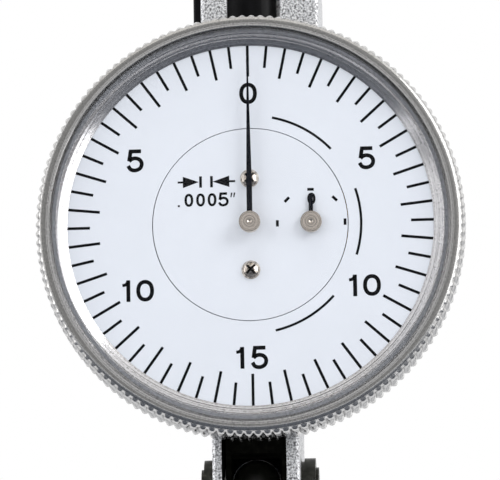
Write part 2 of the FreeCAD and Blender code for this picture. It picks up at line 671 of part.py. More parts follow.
# ---- insert in the upper front recess
def insert_seat_y():
    return BODY_FRONT_Y + RECESS_DEPTH


def insert_mid_x():
    return (RECESS_LEFT + FIT + RECESS_RIGHT - INSERT_SIDE_GAP) / 2


def upper_insert():
    """Block in the upper recess, with a front that bulges across its width."""
    left, right = RECESS_LEFT + FIT, RECESS_RIGHT - INSERT_SIDE_GAP
    low, high = RECESS_LOW_Z + FIT, RECESS_TOP_Z - FIT
    front = BODY_FRONT_Y + INSERT_SETBACK
    edge = front + INSERT_CROWN
    seat = insert_seat_y()
    corners = [V(left, seat, low), V(left, edge, low), V(right, edge, low), V(right, seat, low)]
    bulge = Part.Arc(corners[1], V(insert_mid_x(), front, low), corners[2]).toShape()
    sides = [Part.makeLine(corners[0], corners[1]), bulge,
             Part.makeLine(corners[2], corners[3]), Part.makeLine(corners[3], corners[0])]
    block = Part.Face(Part.Wire(sides)).extrude(V(0, 0, high - low))
    head = rod_y(PAN_HEAD_R + SCREW_GAP, front - OVER, insert_head_y(), insert_mid_x(),
                 INSERT_SCREW_Z)
    shank = rod_y(SMALL_SCREW_R + SCREW_GAP, front - OVER, seat + OVER, insert_mid_x(),
                  INSERT_SCREW_Z)
    return block.cut(head).cut(shank)


def insert_head_y():
    """Floor of the counterbore in the insert."""
    return BODY_FRONT_Y + INSERT_SETBACK + INSERT_HEAD_DEPTH


def insert_screw():
    screw = pan_screw(insert_seat_y() - insert_head_y() + SCREW_GRIP)
    screw.translate(V(insert_mid_x(), insert_head_y(), INSERT_SCREW_Z))
    return screw


# ---- left side cover and the movement plate under it
def cover_span():
    return BODY_FRONT_Y + COVER_FRONT_GAP, BODY_BACK_Y - COVER_BACK_GAP


def cover_screw_places():
    front, back = cover_span()
    inset = COVER_SCREW_INSET
    return [(y, z) for y in (front + inset, back - inset)
            for z in (COVER_LOW_Z + inset, COVER_TOP_Z - inset)]


def side_cover():
    front, back = cover_span()
    face = HEAD_LEFT - COVER_THICK
    plate = box(face, HEAD_LEFT, front, back, COVER_LOW_Z, COVER_TOP_Z)
    corners = [e for e in plate.Edges if abs(e.tangentAt(e.FirstParameter).x) > 0.9]
    plate = plate.makeFillet(COVER_CORNER_R, corners)
    outer = [e for e in plate.Edges if e.BoundBox.XMax < face + LAP]
    plate = plate.makeChamfer(COVER_CHAMFER, outer)
    sink = COVER_HEAD_R - COVER_SCREW_R
    for y, z in cover_screw_places():
        plate = plate.cut(rod_x(COVER_SCREW_R + SCREW_GAP, face - OVER, HEAD_LEFT + OVER, y, z))
        plate = plate.cut(Part.makeCone(COVER_HEAD_R + COVER_HEAD_GAP,
                                        COVER_SCREW_R + SCREW_GAP, sink,
                                        V(face, y, z), ALONG_X))
    return plate


def side_cover_screws():
    """Countersunk slotted screws, flush with the cover."""
    screws = []
    face = HEAD_LEFT - COVER_THICK
    sink = COVER_HEAD_R - COVER_SCREW_R
    for y, z in cover_screw_places():
        head = Part.makeCone(COVER_HEAD_R, COVER_SCREW_R, sink, V(face, y, z), ALONG_X)
        screw = head.fuse(rod_x(COVER_SCREW_R, face + sink - LAP, HEAD_LEFT + COVER_GRIP, y, z))
        slot = box(face - OVER, face + COVER_SLOT, y - OVER, y + OVER,
                   z - COVER_SLOT / 2, z + COVER_SLOT / 2)
        screws.append(screw.cut(slot))
    return Part.Compound(screws)


def plate_screw_places():
    low, high = POCKET_LOW_Z + PLATE_SCREW_INSET, POCKET_TOP_Z - PLATE_SCREW_INSET
    front, back = POCKET_FRONT_Y + PLATE_SCREW_INSET, POCKET_BACK_Y - PLATE_SCREW_INSET
    return [(back, low), (back, high), (front, high)]


def movement_plate():
    """Plate in the left pocket that carries the left jewels of the train."""
    left, right = HEAD_LEFT - OVER, PLATE_INNER_X + OVER
    plate = box(HEAD_LEFT, PLATE_INNER_X, POCKET_FRONT_Y + FIT, POCKET_BACK_Y - FIT,
                POCKET_LOW_Z + FIT, POCKET_TOP_Z - FIT)
    for z in (0.0, SECTOR_Z):
        plate = plate.cut(rod_x(JEWEL_R, PLATE_INNER_X - JEWEL_THICK, right, AXIS_Y, z))
    for y, z in plate_screw_places():
        plate = plate.cut(rod_x(SMALL_SCREW_R + SCREW_GAP, left, right, y, z))
        plate = plate.cut(rod_x(PAN_HEAD_R + SCREW_GAP, left, plate_head_x(), y, z))
    return plate


def plate_head_x():
    """Where the heads of the plate's screws seat; they stay under the cover by a gap."""
    return HEAD_LEFT + FIT + PLATE_HEAD_THICK


def movement_plate_screws():
    """Slotted cheese-head screws."""
    screws = []
    seat = plate_head_x()
    face = seat - PLATE_HEAD_THICK
    for y, z in plate_screw_places():
        screw = rod_x(PAN_HEAD_R, face, seat, y, z)
        screw = screw.fuse(rod_x(SMALL_SCREW_R, seat - LAP, PLATE_INNER_X + SCREW_GRIP - LAP,
                                 y, z))
        slot = box(face - OVER, face + PLATE_SLOT, y - OVER, y + OVER,
                   z - PLATE_SLOT / 2, z + PLATE_SLOT / 2)
        screws.append(screw.cut(slot))
    return Part.Compound(screws)


# ---- pivot bearings in the cheeks
def bearing_cap():
    """Slotted bearing cap whose flange seats at x = 0 and reaches towards -X."""
    nose_x = -CAP_FLANGE_THICK - CAP_NOSE_THICK
    cap = rod_x(CAP_FLANGE_R, -CAP_FLANGE_THICK, 0, 0, 0)
    cap = cap.fuse(rod_x(CAP_NOSE_R, nose_x, -CAP_FLANGE_THICK / 2, 0, 0))
    reach = CAP_NOSE_R + OVER
    slot = box(nose_x - OVER, nose_x + CAP_SLOT_DEPTH, -reach, reach,
               -CAP_SLOT / 2, CAP_SLOT / 2)
    return cap.cut(slot)


def pivot_bearing(sign, seat_x, boss_end):
    """Cap, boss and bore on one side; sign is -1 for the left side, 1 for the right."""
    cap = bearing_cap()
    if sign > 0:
        cap = spin(cap, ALONG_Z, 180)
    cap.translate(V(seat_x, AXIS_Y, PIVOT_Z))
    low, high = sorted((seat_x, boss_end))
    cap = cap.fuse(rod_x(CAP_BOSS_R, low, high, AXIS_Y, PIVOT_Z))
    low, high = sorted((seat_x + sign * (SHAFT_REACH + END_PLAY), boss_end - sign * OVER))
    return cap.cut(rod_x(SHAFT_R + RUN, low, high, AXIS_Y, PIVOT_Z))


def left_pivot_bearing():
    return pivot_bearing(-1, NECK_LEFT, CHANNEL_LEFT - CAP_BACK_GAP)


def right_pivot_bearing():
    return pivot_bearing(1, NECK_RIGHT + SHIM_THICK, CHANNEL_RIGHT + CAP_BACK_GAP)


def bearing_shim():
    shim = rod_x(SHIM_R, NECK_RIGHT, NECK_RIGHT + SHIM_THICK, AXIS_Y, PIVOT_Z)
    return shim.cut(cheek_bores())


# ================================================================ train bearings
def jewel_pair(z):
    """Pierced jewels for one train arbor: one in the plate, one in the right wall."""
    jewels = []
    for start in (PLATE_INNER_X - JEWEL_THICK, CHANNEL_RIGHT):
        jewel = rod_x(JEWEL_R, start, start + JEWEL_THICK, AXIS_Y, z)
        jewels.append(jewel.cut(rod_x(PIVOT_R + RUN, start - OVER,
                                      start + JEWEL_THICK + OVER, AXIS_Y, z)))
    return Part.Compound(jewels)


def centre_bush_r():
    return CENTRE_ARBOR_R + RUN + BUSH_WALL


def counter_bush_r():
    return COUNTER_ARBOR_R + RUN + BUSH_WALL


def centre_bush():
    return tube_y(centre_bush_r(), CENTRE_ARBOR_R + RUN, FLOOR_Y - BUSH_PROUD, BODY_FRONT_Y)


def counter_bush():
    front = COUNTER_WHEEL_Y + COUNTER_WHEEL_THICK + BUSH_GAP
    return tube_y(counter_bush_r(), COUNTER_ARBOR_R + RUN, front, BODY_FRONT_Y, COUNTER_X)


def bridge_screw_places():
    """Screws on each side of the arm, at the middle of the foot's depth."""
    offset = (BRIDGE_FOOT_HALF + ARM_RIGHT) / 2 + LAP
    depth = BRIDGE_ARM_Y + (FOOT_BACK - FOOT_FRONT) / 2
    return [(-offset, depth), (offset, depth)]


def centre_bridge():
    """Bracket hung from the roof of the channel; its arm carries the rear jewel."""
    arm_back = BRIDGE_ARM_Y + BRIDGE_ARM_THICK
    under = CHANNEL_TOP_Z - BRIDGE_FOOT
    arm = box(ARM_LEFT, ARM_RIGHT, BRIDGE_ARM_Y, arm_back, -REAR_JEWEL_R - BRIDGE_ARM_WALL,
              CHANNEL_TOP_Z)
    foot = box(-BRIDGE_FOOT_HALF, BRIDGE_FOOT_HALF, BRIDGE_ARM_Y - FOOT_FRONT,
               BRIDGE_ARM_Y + FOOT_BACK, under, CHANNEL_TOP_Z)
    bridge = arm.fuse(foot)
    for x, y in bridge_screw_places():
        bridge = bridge.cut(Part.makeCylinder(SMALL_SCREW_R + SCREW_GAP, BRIDGE_FOOT + 2 * OVER,
                                              V(x, y, under - OVER)))
    return bridge.cut(rod_y(REAR_JEWEL_R, BRIDGE_ARM_Y - OVER, arm_back + OVER))


def centre_jewel():
    return tube_y(REAR_JEWEL_R, REAR_PIVOT_R + RUN, BRIDGE_ARM_Y,
                  BRIDGE_ARM_Y + BRIDGE_ARM_THICK)


def centre_bridge_screws():
    screws = []
    under = CHANNEL_TOP_Z - BRIDGE_FOOT
    face = under - BRIDGE_HEAD_THICK
    half = BRIDGE_SLOT / 2
    for x, y in bridge_screw_places():
        head = Part.makeCylinder(BRIDGE_SCREW_R, BRIDGE_HEAD_THICK, V(x, y, face))
        shank = Part.makeCylinder(SMALL_SCREW_R, BRIDGE_FOOT + SCREW_GRIP - LAP,
                                  V(x, y, under - LAP))
        slot = box(x - OVER, x + OVER, y - half, y + half, face - OVER, face + BRIDGE_SLOT)
        screws.append(head.fuse(shank).cut(slot))
    return Part.Compound(screws)


def hairspring_stud():
    """Pin in the bridge's arm that holds the hairspring's outer end."""
    z = HAIRSPRING_OUTER_R + HAIRSPRING_STRIP / 2 + STUD_R
    return rod_y(STUD_R, HAIRSPRING_Y - COLLET_EDGE, BRIDGE_ARM_Y, 0, z)


def hairspring():
    """Flat spiral strip between the collet and the stud."""
    steps = SPIRAL_STEPS * HAIRSPRING_TURNS
    sides = []
    for offset in (-HAIRSPRING_STRIP / 2, HAIRSPRING_STRIP / 2):
        points = []
        for i in range(steps + 1):
            share = i / steps
            radius = offset + HAIRSPRING_INNER_R + share * (HAIRSPRING_OUTER_R
                                                            - HAIRSPRING_INNER_R)
            angle = math.pi / 2 + 2 * math.pi * HAIRSPRING_TURNS * share
            points.append(V(radius * math.cos(angle), HAIRSPRING_Y, radius * math.sin(angle)))
        sides.append(points)
    curves = []
    for points in sides:
        curve = Part.BSplineCurve()
        curve.interpolate(points)
        curves.append(curve.toShape())
    ends = [Part.makeLine(sides[0][i], sides[1][i]) for i in (0, -1)]
    wire = Part.Wire(Part.__sortEdges__(curves + ends))
    return Part.Face(wire).extrude(V(0, HAIRSPRING_WIDTH, 0))


# ================================================================ lever group
def lever_fork():
    """Fork that holds the swivel ball, with the arm that drives the sector."""
    low = PIVOT_Z + BALL_R + BRIDGE_GAP
    high = low + BRIDGE_HEIGHT
    mid = CHANNEL_MID_X
    fork = box(mid - LEG_OUTER, mid + LEG_OUTER, AXIS_Y - BRIDGE_HALF_DEPTH,
               AXIS_Y + BRIDGE_HALF_DEPTH, low, high)
    for side in (-1, 1):
        near, far = sorted((mid + side * LEG_INNER, mid + side * LEG_OUTER))
        leg = box(near, far, AXIS_Y - LEG_HALF_DEPTH, AXIS_Y + LEG_HALF_DEPTH, PIVOT_Z,
                  low + LAP)
        fork = fork.fuse(leg.fuse(rod_x(LEG_HALF_DEPTH, near, far, AXIS_Y, PIVOT_Z)))
    tip = ARM_HALF_DEPTH
    root = tip + ARM_FLARE
    left, right = mid - ARM_THICK / 2, mid + ARM_THICK / 2
    arm = prism_x([(AXIS_Y - root, high - LAP), (AXIS_Y + root, high - LAP),
                   (AXIS_Y + tip, PIN_Z), (AXIS_Y - tip, PIN_Z)], left, right)
    fork = fork.fuse(arm.fuse(rod_x(tip, left, right, AXIS_Y, PIN_Z)))
    fork = fork.cut(rod_x(SHAFT_R, CHANNEL_LEFT, CHANNEL_RIGHT, AXIS_Y, PIVOT_Z))
    return fork.cut(rod_x(PIN_R, CHANNEL_LEFT, CHANNEL_RIGHT, AXIS_Y, PIN_Z))


def drive_pin():
    return rod_x(PIN_R, CHANNEL_MID_X - ARM_THICK / 2, SECTOR_PLANE_X + SECTOR_THICK + PIN_END,
                 AXIS_Y, PIN_Z)


def pivot_shaft():
    return rod_x(SHAFT_R, NECK_LEFT - SHAFT_REACH, NECK_RIGHT + SHIM_THICK + SHAFT_REACH,
                 AXIS_Y, PIVOT_Z)


def friction_washers():
    washers = []
    for side in (-1, 1):
        near, far = sorted((CHANNEL_MID_X + side * (LEG_INNER - WASHER_THICK),
                            CHANNEL_MID_X + side * LEG_INNER))
        washer = rod_x(WASHER_R, near, far, AXIS_Y, PIVOT_Z)
        washers.append(washer.cut(rod_x(SHAFT_R, near - OVER, far + OVER, AXIS_Y, PIVOT_Z)))
    return Part.Compound(washers)


# ================================================================ stylus group
def swivel_ball():
    """Ball with two flats, bored for the shaft and tapped for the stylus."""
    centre = V(CHANNEL_MID_X, AXIS_Y, PIVOT_Z)
    ball = Part.makeSphere(BALL_R, centre)
    flats = box(CHANNEL_MID_X - BALL_FLAT, CHANNEL_MID_X + BALL_FLAT, AXIS_Y - 2 * BALL_R,
                AXIS_Y + 2 * BALL_R, ball_seat_z(), PIVOT_Z + 2 * BALL_R)
    ball = ball.common(flats)
    ball = ball.cut(rod_x(SHAFT_R + RUN, CHANNEL_LEFT, CHANNEL_RIGHT, AXIS_Y, PIVOT_Z))
    thread = Part.makeCylinder(STEM_R, BALL_R, V(CHANNEL_MID_X, AXIS_Y, stem_top_z() - BALL_R))
    return ball.cut(thread)


def ball_seat_z():
    """Flat under the ball where the stylus's collar seats."""
    return PIVOT_Z - BALL_R + SEAT_FLAT


def stem_top_z():
    return PIVOT_Z - SHAFT_R - RUN - STEM_CLEAR


def stylus_stem():
    """Threaded end, collar with two flats for a wrench, and a tapered stem."""
    collar_low = ball_seat_z() - STEM_COLLAR_LENGTH
    end_z = TIP_Z + STEM_END
    base = V(CHANNEL_MID_X, AXIS_Y, collar_low)
    thread = Part.makeCylinder(STEM_R, stem_top_z() - collar_low, base)
    collar = Part.makeCylinder(STEM_COLLAR_R, STEM_COLLAR_LENGTH, base)
    collar = collar.common(box(CHANNEL_MID_X - STEM_COLLAR_FLAT, CHANNEL_MID_X + STEM_COLLAR_FLAT,
                               AXIS_Y - STEM_COLLAR_R, AXIS_Y + STEM_COLLAR_R,
                               collar_low, ball_seat_z()))
    taper = Part.makeCone(STEM_R, STEM_TIP_R, collar_low - end_z, base, -ALONG_Z)
    stem = thread.fuse(collar).fuse(taper)
    return stem.cut(contact_ball())


def contact_ball():
    return Part.makeSphere(TIP_R, V(CHANNEL_MID_X, AXIS_Y, TIP_Z))


# ================================================================ sector group
def sector_point(radius, angle):
    """(y, z) at a radius from the sector's axis, at an angle from straight up."""
    return (AXIS_Y + radius * math.sin(angle), SECTOR_Z + radius * math.cos(angle))


def sector_gear():
    """Toothed sector with a slotted tail that the lever's pin drives."""
    count = int(SECTOR_HALF_ANGLE / (360 / SECTOR_TEETH))
    teeth = []
    for index in range(-count, count + 1):
        teeth += tooth_points(SECTOR_TEETH, SECTOR_MODULE, WHEEL_ADDENDUM, WHEEL_DEDENDUM,
                              WHEEL_FULLNESS, index, 0.0)
    edge = teeth[-1][1]
    outline = [sector_point(r, a) for r, a in
               [(SECTOR_CORE_R, -edge)] + teeth + [(SECTOR_CORE_R, edge)]]
    x0, x1 = SECTOR_PLANE_X, SECTOR_PLANE_X + SECTOR_THICK
    blade = prism_x(outline, x0, x1)
    spoke = edge * SECTOR_SPOKE_SHARE
    rim = SECTOR_R - SECTOR_RIM
    window = [sector_point(r, a) for r, a in
              [(SECTOR_WINDOW_LOW, -spoke), (rim, -spoke), (rim, 0), (rim, spoke),
               (SECTOR_WINDOW_LOW, spoke)]]
    blade = blade.cut(prism_x(window, x0 - OVER, x1 + OVER))
    blade = blade.fuse(rod_x(SECTOR_HUB_R, x0, x1, AXIS_Y, SECTOR_Z))
    blade = blade.fuse(rod_x(TRAIN_ARBOR_R + COLLAR_WALL, x0 - COLLAR_STEP, x1 + COLLAR_STEP,
                             AXIS_Y, SECTOR_Z))
    slot_half = PIN_R + SLOT_GAP
    tail_half = slot_half + TAIL_WALL
    tail_low = PIN_Z - PIN_R - TAIL_END
    blade = blade.fuse(box(x0, x1, AXIS_Y - tail_half, AXIS_Y + tail_half, tail_low, SECTOR_Z))
    low, high = PIN_Z - SLOT_HALF, PIN_Z + SLOT_HALF
    slot = box(x0 - OVER, x1 + OVER, AXIS_Y - slot_half, AXIS_Y + slot_half, low, high)
    for z in (low, high):
        slot = slot.fuse(rod_x(slot_half, x0 - OVER, x1 + OVER, AXIS_Y, z))
    return blade.cut(slot).cut(sector_arbor())


def train_arbor(z):
    """Arbor across the channel with a turned pivot at each end."""
    left = PLATE_INNER_X + END_PLAY
    right = CHANNEL_RIGHT - END_PLAY
    arbor = rod_x(TRAIN_ARBOR_R, left, right, AXIS_Y, z)
    return arbor.fuse(rod_x(PIVOT_R, left - PIVOT_LENGTH, right + PIVOT_LENGTH, AXIS_Y, z))


def sector_arbor():
    return train_arbor(SECTOR_Z)


# ================================================================ crown group
def crown_root_x():
    """Plane that the crown's teeth stand on."""
    return -CENTRE_PINION_R - CROWN_ROOT_GAP


def crown_gear():
    """Crown wheel: radial teeth that point along +X to the centre pinion."""
    root = crown_root_x()
    back = root - CROWN_DISC_THICK
    disc = rod_x(CROWN_TOOTH_OUTER, back, root)
    disc = disc.cut(rod_x(CROWN_TOOTH_INNER - CROWN_DISH, root - CROWN_DISH, root + OVER))
    half = WHEEL_FULLNESS * math.pi * CROWN_MODULE / 2
    tip = TOOTH_TIP_SHARE * half
    tip_x = -CENTRE_PINION_R + WHEEL_ADDENDUM * CROWN_MODULE
    section = [(root - LAP, -half), (-CENTRE_PINION_R, -half), (tip_x, -tip),
               (tip_x, tip), (-CENTRE_PINION_R, half), (root - LAP, half)]
    tooth = prism_y(section, AXIS_Y - CROWN_TOOTH_OUTER, AXIS_Y - CROWN_TOOTH_INNER)
    gear = disc.multiFuse(ring_of(tooth, ALONG_X, CROWN_TEETH, V(0, AXIS_Y, 0)))
    collar = rod_x(TRAIN_ARBOR_R + COLLAR_WALL, back - COLLAR_STEP, root - CROWN_DISH)
    return gear.fuse(collar).cut(crown_arbor())


def crown_pinion():
    outline = gear_outline(CROWN_PINION_TEETH, SECTOR_MODULE, pinion=True, phase=0.5)
    outline = [(AXIS_Y - b, -a) for a, b in outline]
    pinion = prism_x(outline, SECTOR_PLANE_X - PINION_OVERHANG,
                     SECTOR_PLANE_X + SECTOR_THICK + PINION_OVERHANG)
    return pinion.cut(crown_arbor())


def crown_arbor():
    return train_arbor(0.0)


# ================================================================ hand group
def centre_arbor():
    shoulder = BRIDGE_ARM_Y - END_PLAY
    arbor = rod_y(CENTRE_ARBOR_R, HAND_Y - HUB_THICK + HUB_COVER, shoulder)
    return arbor.fuse(rod_y(REAR_PIVOT_R, shoulder - LAP, shoulder + PIVOT_LENGTH))


def centre_pinion():
    outline = gear_outline(CENTRE_PINION_TEETH, CROWN_MODULE, pinion=True, phase=0.5)
    start = MESH_Y - PINION_LENGTH / 2
    pinion = prism_y([(-a, b) for a, b in outline], start, start + PINION_LENGTH)
    return pinion.cut(centre_arbor())


def counter_pinion():
    outline = gear_outline(COUNTER_PINION_TEETH, COUNTER_MODULE, pinion=True, phase=0.5)
    pinion = prism_y(outline, COUNTER_WHEEL_Y - COUNTER_PINION_OVERHANG,
                     COUNTER_WHEEL_Y + COUNTER_WHEEL_THICK + COUNTER_PINION_OVERHANG)
    return pinion.cut(centre_arbor())


def hairspring_collet():
    collet = rod_y(COLLET_R, HAIRSPRING_Y - COLLET_EDGE,
                   HAIRSPRING_Y + HAIRSPRING_WIDTH + COLLET_EDGE)
    return collet.cut(centre_arbor())


def hub(arbor_r, hand_y, thick, back):
    """Turned hub: a dimpled disc in front of its hand and a collar behind it."""
    front = hand_y - thick
    disc = rod_y(HUB_R, front, hand_y)
    edge = [e for e in disc.Edges if e.BoundBox.YMax < front + LAP]
    disc = disc.makeChamfer(HUB_CHAMFER, edge)
    neck = rod_y(arbor_r + HUB_NECK, hand_y, back)
    collar = rod_y(arbor_r + HUB_WALL, hand_y + HAND_THICK, back)
    solid = disc.fuse(neck).fuse(collar)
    solid = solid.cut(rod_y(arbor_r, front + HUB_COVER, back + OVER))
    dimple = Part.makeCone(HUB_DIMPLE_R, HUB_DIMPLE_END_R, HUB_DIMPLE_DEPTH, V(0, front, 0),
                           ALONG_Y)
    return solid.cut(dimple)


def main_hub():
    return hub(CENTRE_ARBOR_R, HAND_Y, HUB_THICK, HUB_BACK_Y)


def main_hand():
    """Blade of even width near the hub, tapering to a fine tip, at the zero mark."""
    root, tip = HAND_ROOT_WIDTH / 2, HAND_TIP_WIDTH / 2
    blade = prism_y([(-root, 0), (root, 0), (root, HAND_TAPER_R), (tip, HAND_LENGTH),
                     (-tip, HAND_LENGTH), (-root, HAND_TAPER_R)], HAND_Y, HAND_Y + HAND_THICK)
    blade = blade.fuse(rod_y(HUB_R - EYE_INSET, HAND_Y, HAND_Y + HAND_THICK))
    return blade.cut(rod_y(CENTRE_ARBOR_R + HUB_NECK, HAND_Y - OVER, HAND_Y + OVER))


# ================================================================ counter group
def counter_wheel():
    outline = gear_outline(COUNTER_TEETH, COUNTER_MODULE)
    front, back = COUNTER_WHEEL_Y, COUNTER_WHEEL_Y + COUNTER_WHEEL_THICK
    wheel = prism_y(outline, front, back)
    hole = rod_y(WHEEL_HOLE_R, front - OVER, back + OVER, WHEEL_HOLE_PITCH_R)
    for cut in ring_of(hole, ALONG_Y, WHEEL_HOLES):
        wheel = wheel.cut(cut)
    wheel.translate(V(COUNTER_X, 0, 0))
    return wheel.cut(counter_arbor())


def counter_arbor():
    return rod_y(COUNTER_ARBOR_R, COUNTER_HAND_Y - COUNTER_HUB_THICK + HUB_COVER,
                 BODY_FRONT_Y - END_PLAY, COUNTER_X)


def counter_hub():
    solid = hub(COUNTER_ARBOR_R, COUNTER_HAND_Y, COUNTER_HUB_THICK, COUNTER_HUB_BACK_Y)
    solid.translate(V(COUNTER_X, 0, 0))
    return solid


def counter_hand():
    """Small leaf-shaped hand with a rounded tip."""
    half = COUNTER_HAND_WIDTH / 2
    end = COUNTER_HAND_LENGTH - half
    blade = prism_y([(-half, 0), (half, 0), (half, end), (-half, end)],
                    COUNTER_HAND_Y, COUNTER_HAND_Y + HAND_THICK)
    blade = blade.fuse(rod_y(half, COUNTER_HAND_Y, COUNTER_HAND_Y + HAND_THICK, 0, end))
    blade = blade.fuse(rod_y(HUB_R - EYE_INSET, COUNTER_HAND_Y, COUNTER_HAND_Y + HAND_THICK))
    blade = blade.cut(rod_y(COUNTER_ARBOR_R + HUB_NECK, COUNTER_HAND_Y - OVER,
                            COUNTER_HAND_Y + OVER))
    blade.translate(V(COUNTER_X, 0, 0))
    return blade


# ================================================================ all pieces
PIECES = {
    "body_frame": body_frame,
    "upper_insert": upper_insert,
    "insert_screw": insert_screw,
    "side_cover": side_cover,
    "side_cover_screws": side_cover_screws,
    "movement_plate": movement_plate,
    "movement_plate_screws": movement_plate_screws,
    "left_pivot_bearing": left_pivot_bearing,
    "right_pivot_bearing": right_pivot_bearing,
    "bearing_shim": bearing_shim,
    "dial_case": dial_case,
    "dial_case_screws": dial_case_screws,
    "dial_centre_disc": dial_centre_disc,
    "dial_screws": dial_screws,
    "bezel_spring": bezel_spring,
    "centre_bridge": centre_bridge,
    "centre_bridge_screws": centre_bridge_screws,
    "centre_bush": centre_bush,
    "centre_jewel": centre_jewel,
    "counter_bush": counter_bush,
    "crown_jewels": lambda: jewel_pair(0.0),
    "sector_jewels": lambda: jewel_pair(SECTOR_Z),
    "hairspring": hairspring,
    "hairspring_stud": hairspring_stud,
    "bezel_ring": bezel_ring,
    "crystal": crystal,
    "crystal_seal": crystal_seal,
    "dial_ring": dial_ring,
    "dial_clamp_ring": dial_clamp_ring,
    "lever_fork": lever_fork,
    "pivot_shaft": pivot_shaft,
    "drive_pin": drive_pin,
    "friction_washers": friction_washers,
    "swivel_ball": swivel_ball,
    "stylus_stem": stylus_stem,
    "contact_ball": contact_ball,
    "sector_gear": sector_gear,
    "sector_arbor": sector_arbor,
    "crown_gear": crown_gear,
    "crown_pinion": crown_pinion,
    "crown_arbor": crown_arbor,
    "centre_arbor": centre_arbor,
    "centre_pinion": centre_pinion,
    "counter_pinion": counter_pinion,
    "hairspring_collet": hairspring_collet,
    "main_hub": main_hub,
    "main_hand": main_hand,
    "counter_wheel": counter_wheel,
    "counter_arbor": counter_arbor,
    "counter_hub": counter_hub,
    "counter_hand": counter_hand,
}


def main():
    """Writes each piece, moved to the origin on the back dovetail's crown."""
    for name, make in PIECES.items():
        shape = make()
        shape.translate(V(0, -CROWN_FACE_Y, 0))
        shape.exportStep(f"parts/{name}.step")
        print(name, len(shape.Solids), round(shape.Volume, 3), shape.isValid())


main()
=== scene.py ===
"""Looks of a dial test indicator, laid out as an add-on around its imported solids."""
import math

import bmesh
import bpy
from bpy.props import (FloatProperty, FloatVectorProperty, IntProperty,
                       PointerProperty)
from mathutils import Matrix, Vector


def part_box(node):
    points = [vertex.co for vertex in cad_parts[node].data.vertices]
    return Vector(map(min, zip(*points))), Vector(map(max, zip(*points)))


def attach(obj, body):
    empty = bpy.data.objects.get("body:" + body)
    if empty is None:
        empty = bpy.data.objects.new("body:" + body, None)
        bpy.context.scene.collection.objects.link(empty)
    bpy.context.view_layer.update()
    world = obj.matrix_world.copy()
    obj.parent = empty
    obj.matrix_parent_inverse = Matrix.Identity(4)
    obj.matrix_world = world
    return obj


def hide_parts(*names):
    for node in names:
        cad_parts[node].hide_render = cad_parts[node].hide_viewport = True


bl_info = {
    "name": "Dial Test Indicator",
    "version": (1, 0, 0),
    "blender": (4, 5, 0),
    "location": "3D View > Sidebar > Indicator",
    "description": "Builds the visible pieces and finishes of a dial test indicator",
    "category": "Add Mesh",
}

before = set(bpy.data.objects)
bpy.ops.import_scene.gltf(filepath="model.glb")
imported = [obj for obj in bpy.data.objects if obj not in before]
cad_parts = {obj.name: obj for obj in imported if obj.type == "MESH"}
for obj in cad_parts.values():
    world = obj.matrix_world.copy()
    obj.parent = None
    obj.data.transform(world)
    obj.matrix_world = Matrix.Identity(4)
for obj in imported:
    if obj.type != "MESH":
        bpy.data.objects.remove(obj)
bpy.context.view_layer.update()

MM = 0.001                # one millimetre in scene units

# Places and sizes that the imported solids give.
FACE_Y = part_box("dial_ring")[0][1]
DISC_FACE_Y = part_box("dial_centre_disc")[0][1]
DIAL_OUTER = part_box("dial_ring")[1][0]
COUNTER_X = (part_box("counter_hub")[0][0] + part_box("counter_hub")[1][0]) / 2
KNURL_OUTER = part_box("bezel_ring")[1][0]
BEZEL_FRONT, BEZEL_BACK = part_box("bezel_ring")[0][1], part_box("bezel_ring")[1][1]
CRYSTAL_FRONT, CRYSTAL_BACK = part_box("crystal")[0][1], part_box("crystal")[1][1]
CRYSTAL_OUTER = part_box("crystal")[1][0]
MAIN_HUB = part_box("main_hub")
COUNTER_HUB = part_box("counter_hub")
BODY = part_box("body_frame")

# The channel between the cheeks, painted near black inside as painted shade, in mm: its
# walls, how far behind the body's front it starts and ends, and its top.
CHANNEL_WALLS = (-3.14, 2.79)
CHANNEL_LIP, CHANNEL_DEPTH = 0.05, 14.9
CHANNEL_TOP = 7.1

# Cross recess of a dial screw, painted dark as shade: how far it reaches from its axis and
# from the head, mm.
RECESS_RADIUS, RECESS_DEPTH = 0.6, 0.34

# Print on the centre disc, in mm right of and above the dial's middle. An arrow has
# a tail, a base, a tip and the graduation's edge that it points at.
ARROWS = ((-6.5, -6.03, -4.6, -4.43), (-1.3, -1.83, -3.33, -3.44))
ARROW_ROW, ARROW_HALF = 3.99, 0.52
ARROW_STROKE, EDGE_STROKE = 0.18, 0.24
VALUE_ROW, VALUE_FIGURES = 2.33, (("0", -5.51), ("0", -4.45), ("0", -3.41), ("5", -2.40))
POINT_LEFT, POINT_RIGHT, POINT_HEIGHT = -6.52, -6.33, 0.17
INCH_MARKS = (-1.66, -1.4)
INCH_CORNERS = ((-0.09, 0.78), (0.0, 0.78), (0.1, 1.2), (-0.04, 1.2))
COUNTER_FIGURE, COUNTER_SHIFT, COUNTER_ROW = 1.07, 0.06, 2.2
DASH_HALF = 0.29

# Figures of the dial ring by the clock, each with its share of the figures' radius and
# its own small shift right and up in mm.
RING_FIGURES = (("0", 0, 1.0, 0.0, 0.0), ("5", 60, 1.0, 0.12, -0.22),
                ("10", 120, 0.97, -0.16, 0.0), ("15", 180, 1.0, -0.25, -0.11),
                ("10", 240, 0.97, -0.27, 0.0), ("5", 300, 1.0, 0.10, 0.06))
ARC_CENTRES, ARC_HALF_ANGLE = (30, 90, 150), 17.7     # of the travel arcs, degrees
MARKS, MARK_MARGIN = 60, 0.1     # graduations, and how far inside the edge they end, mm

# Face of a hub, in mm: radius and depth of its drilled dimple, depth of its fine turned
# grooves, the rows that draw them, and the plain edge outside them.
HUB_DIMPLE = ((0.0, 0.15), (0.06, 0.13), (0.2, 0.005))
HUB_GROOVE, HUB_ROWS, HUB_EDGE = 0.006, 13, 0.1

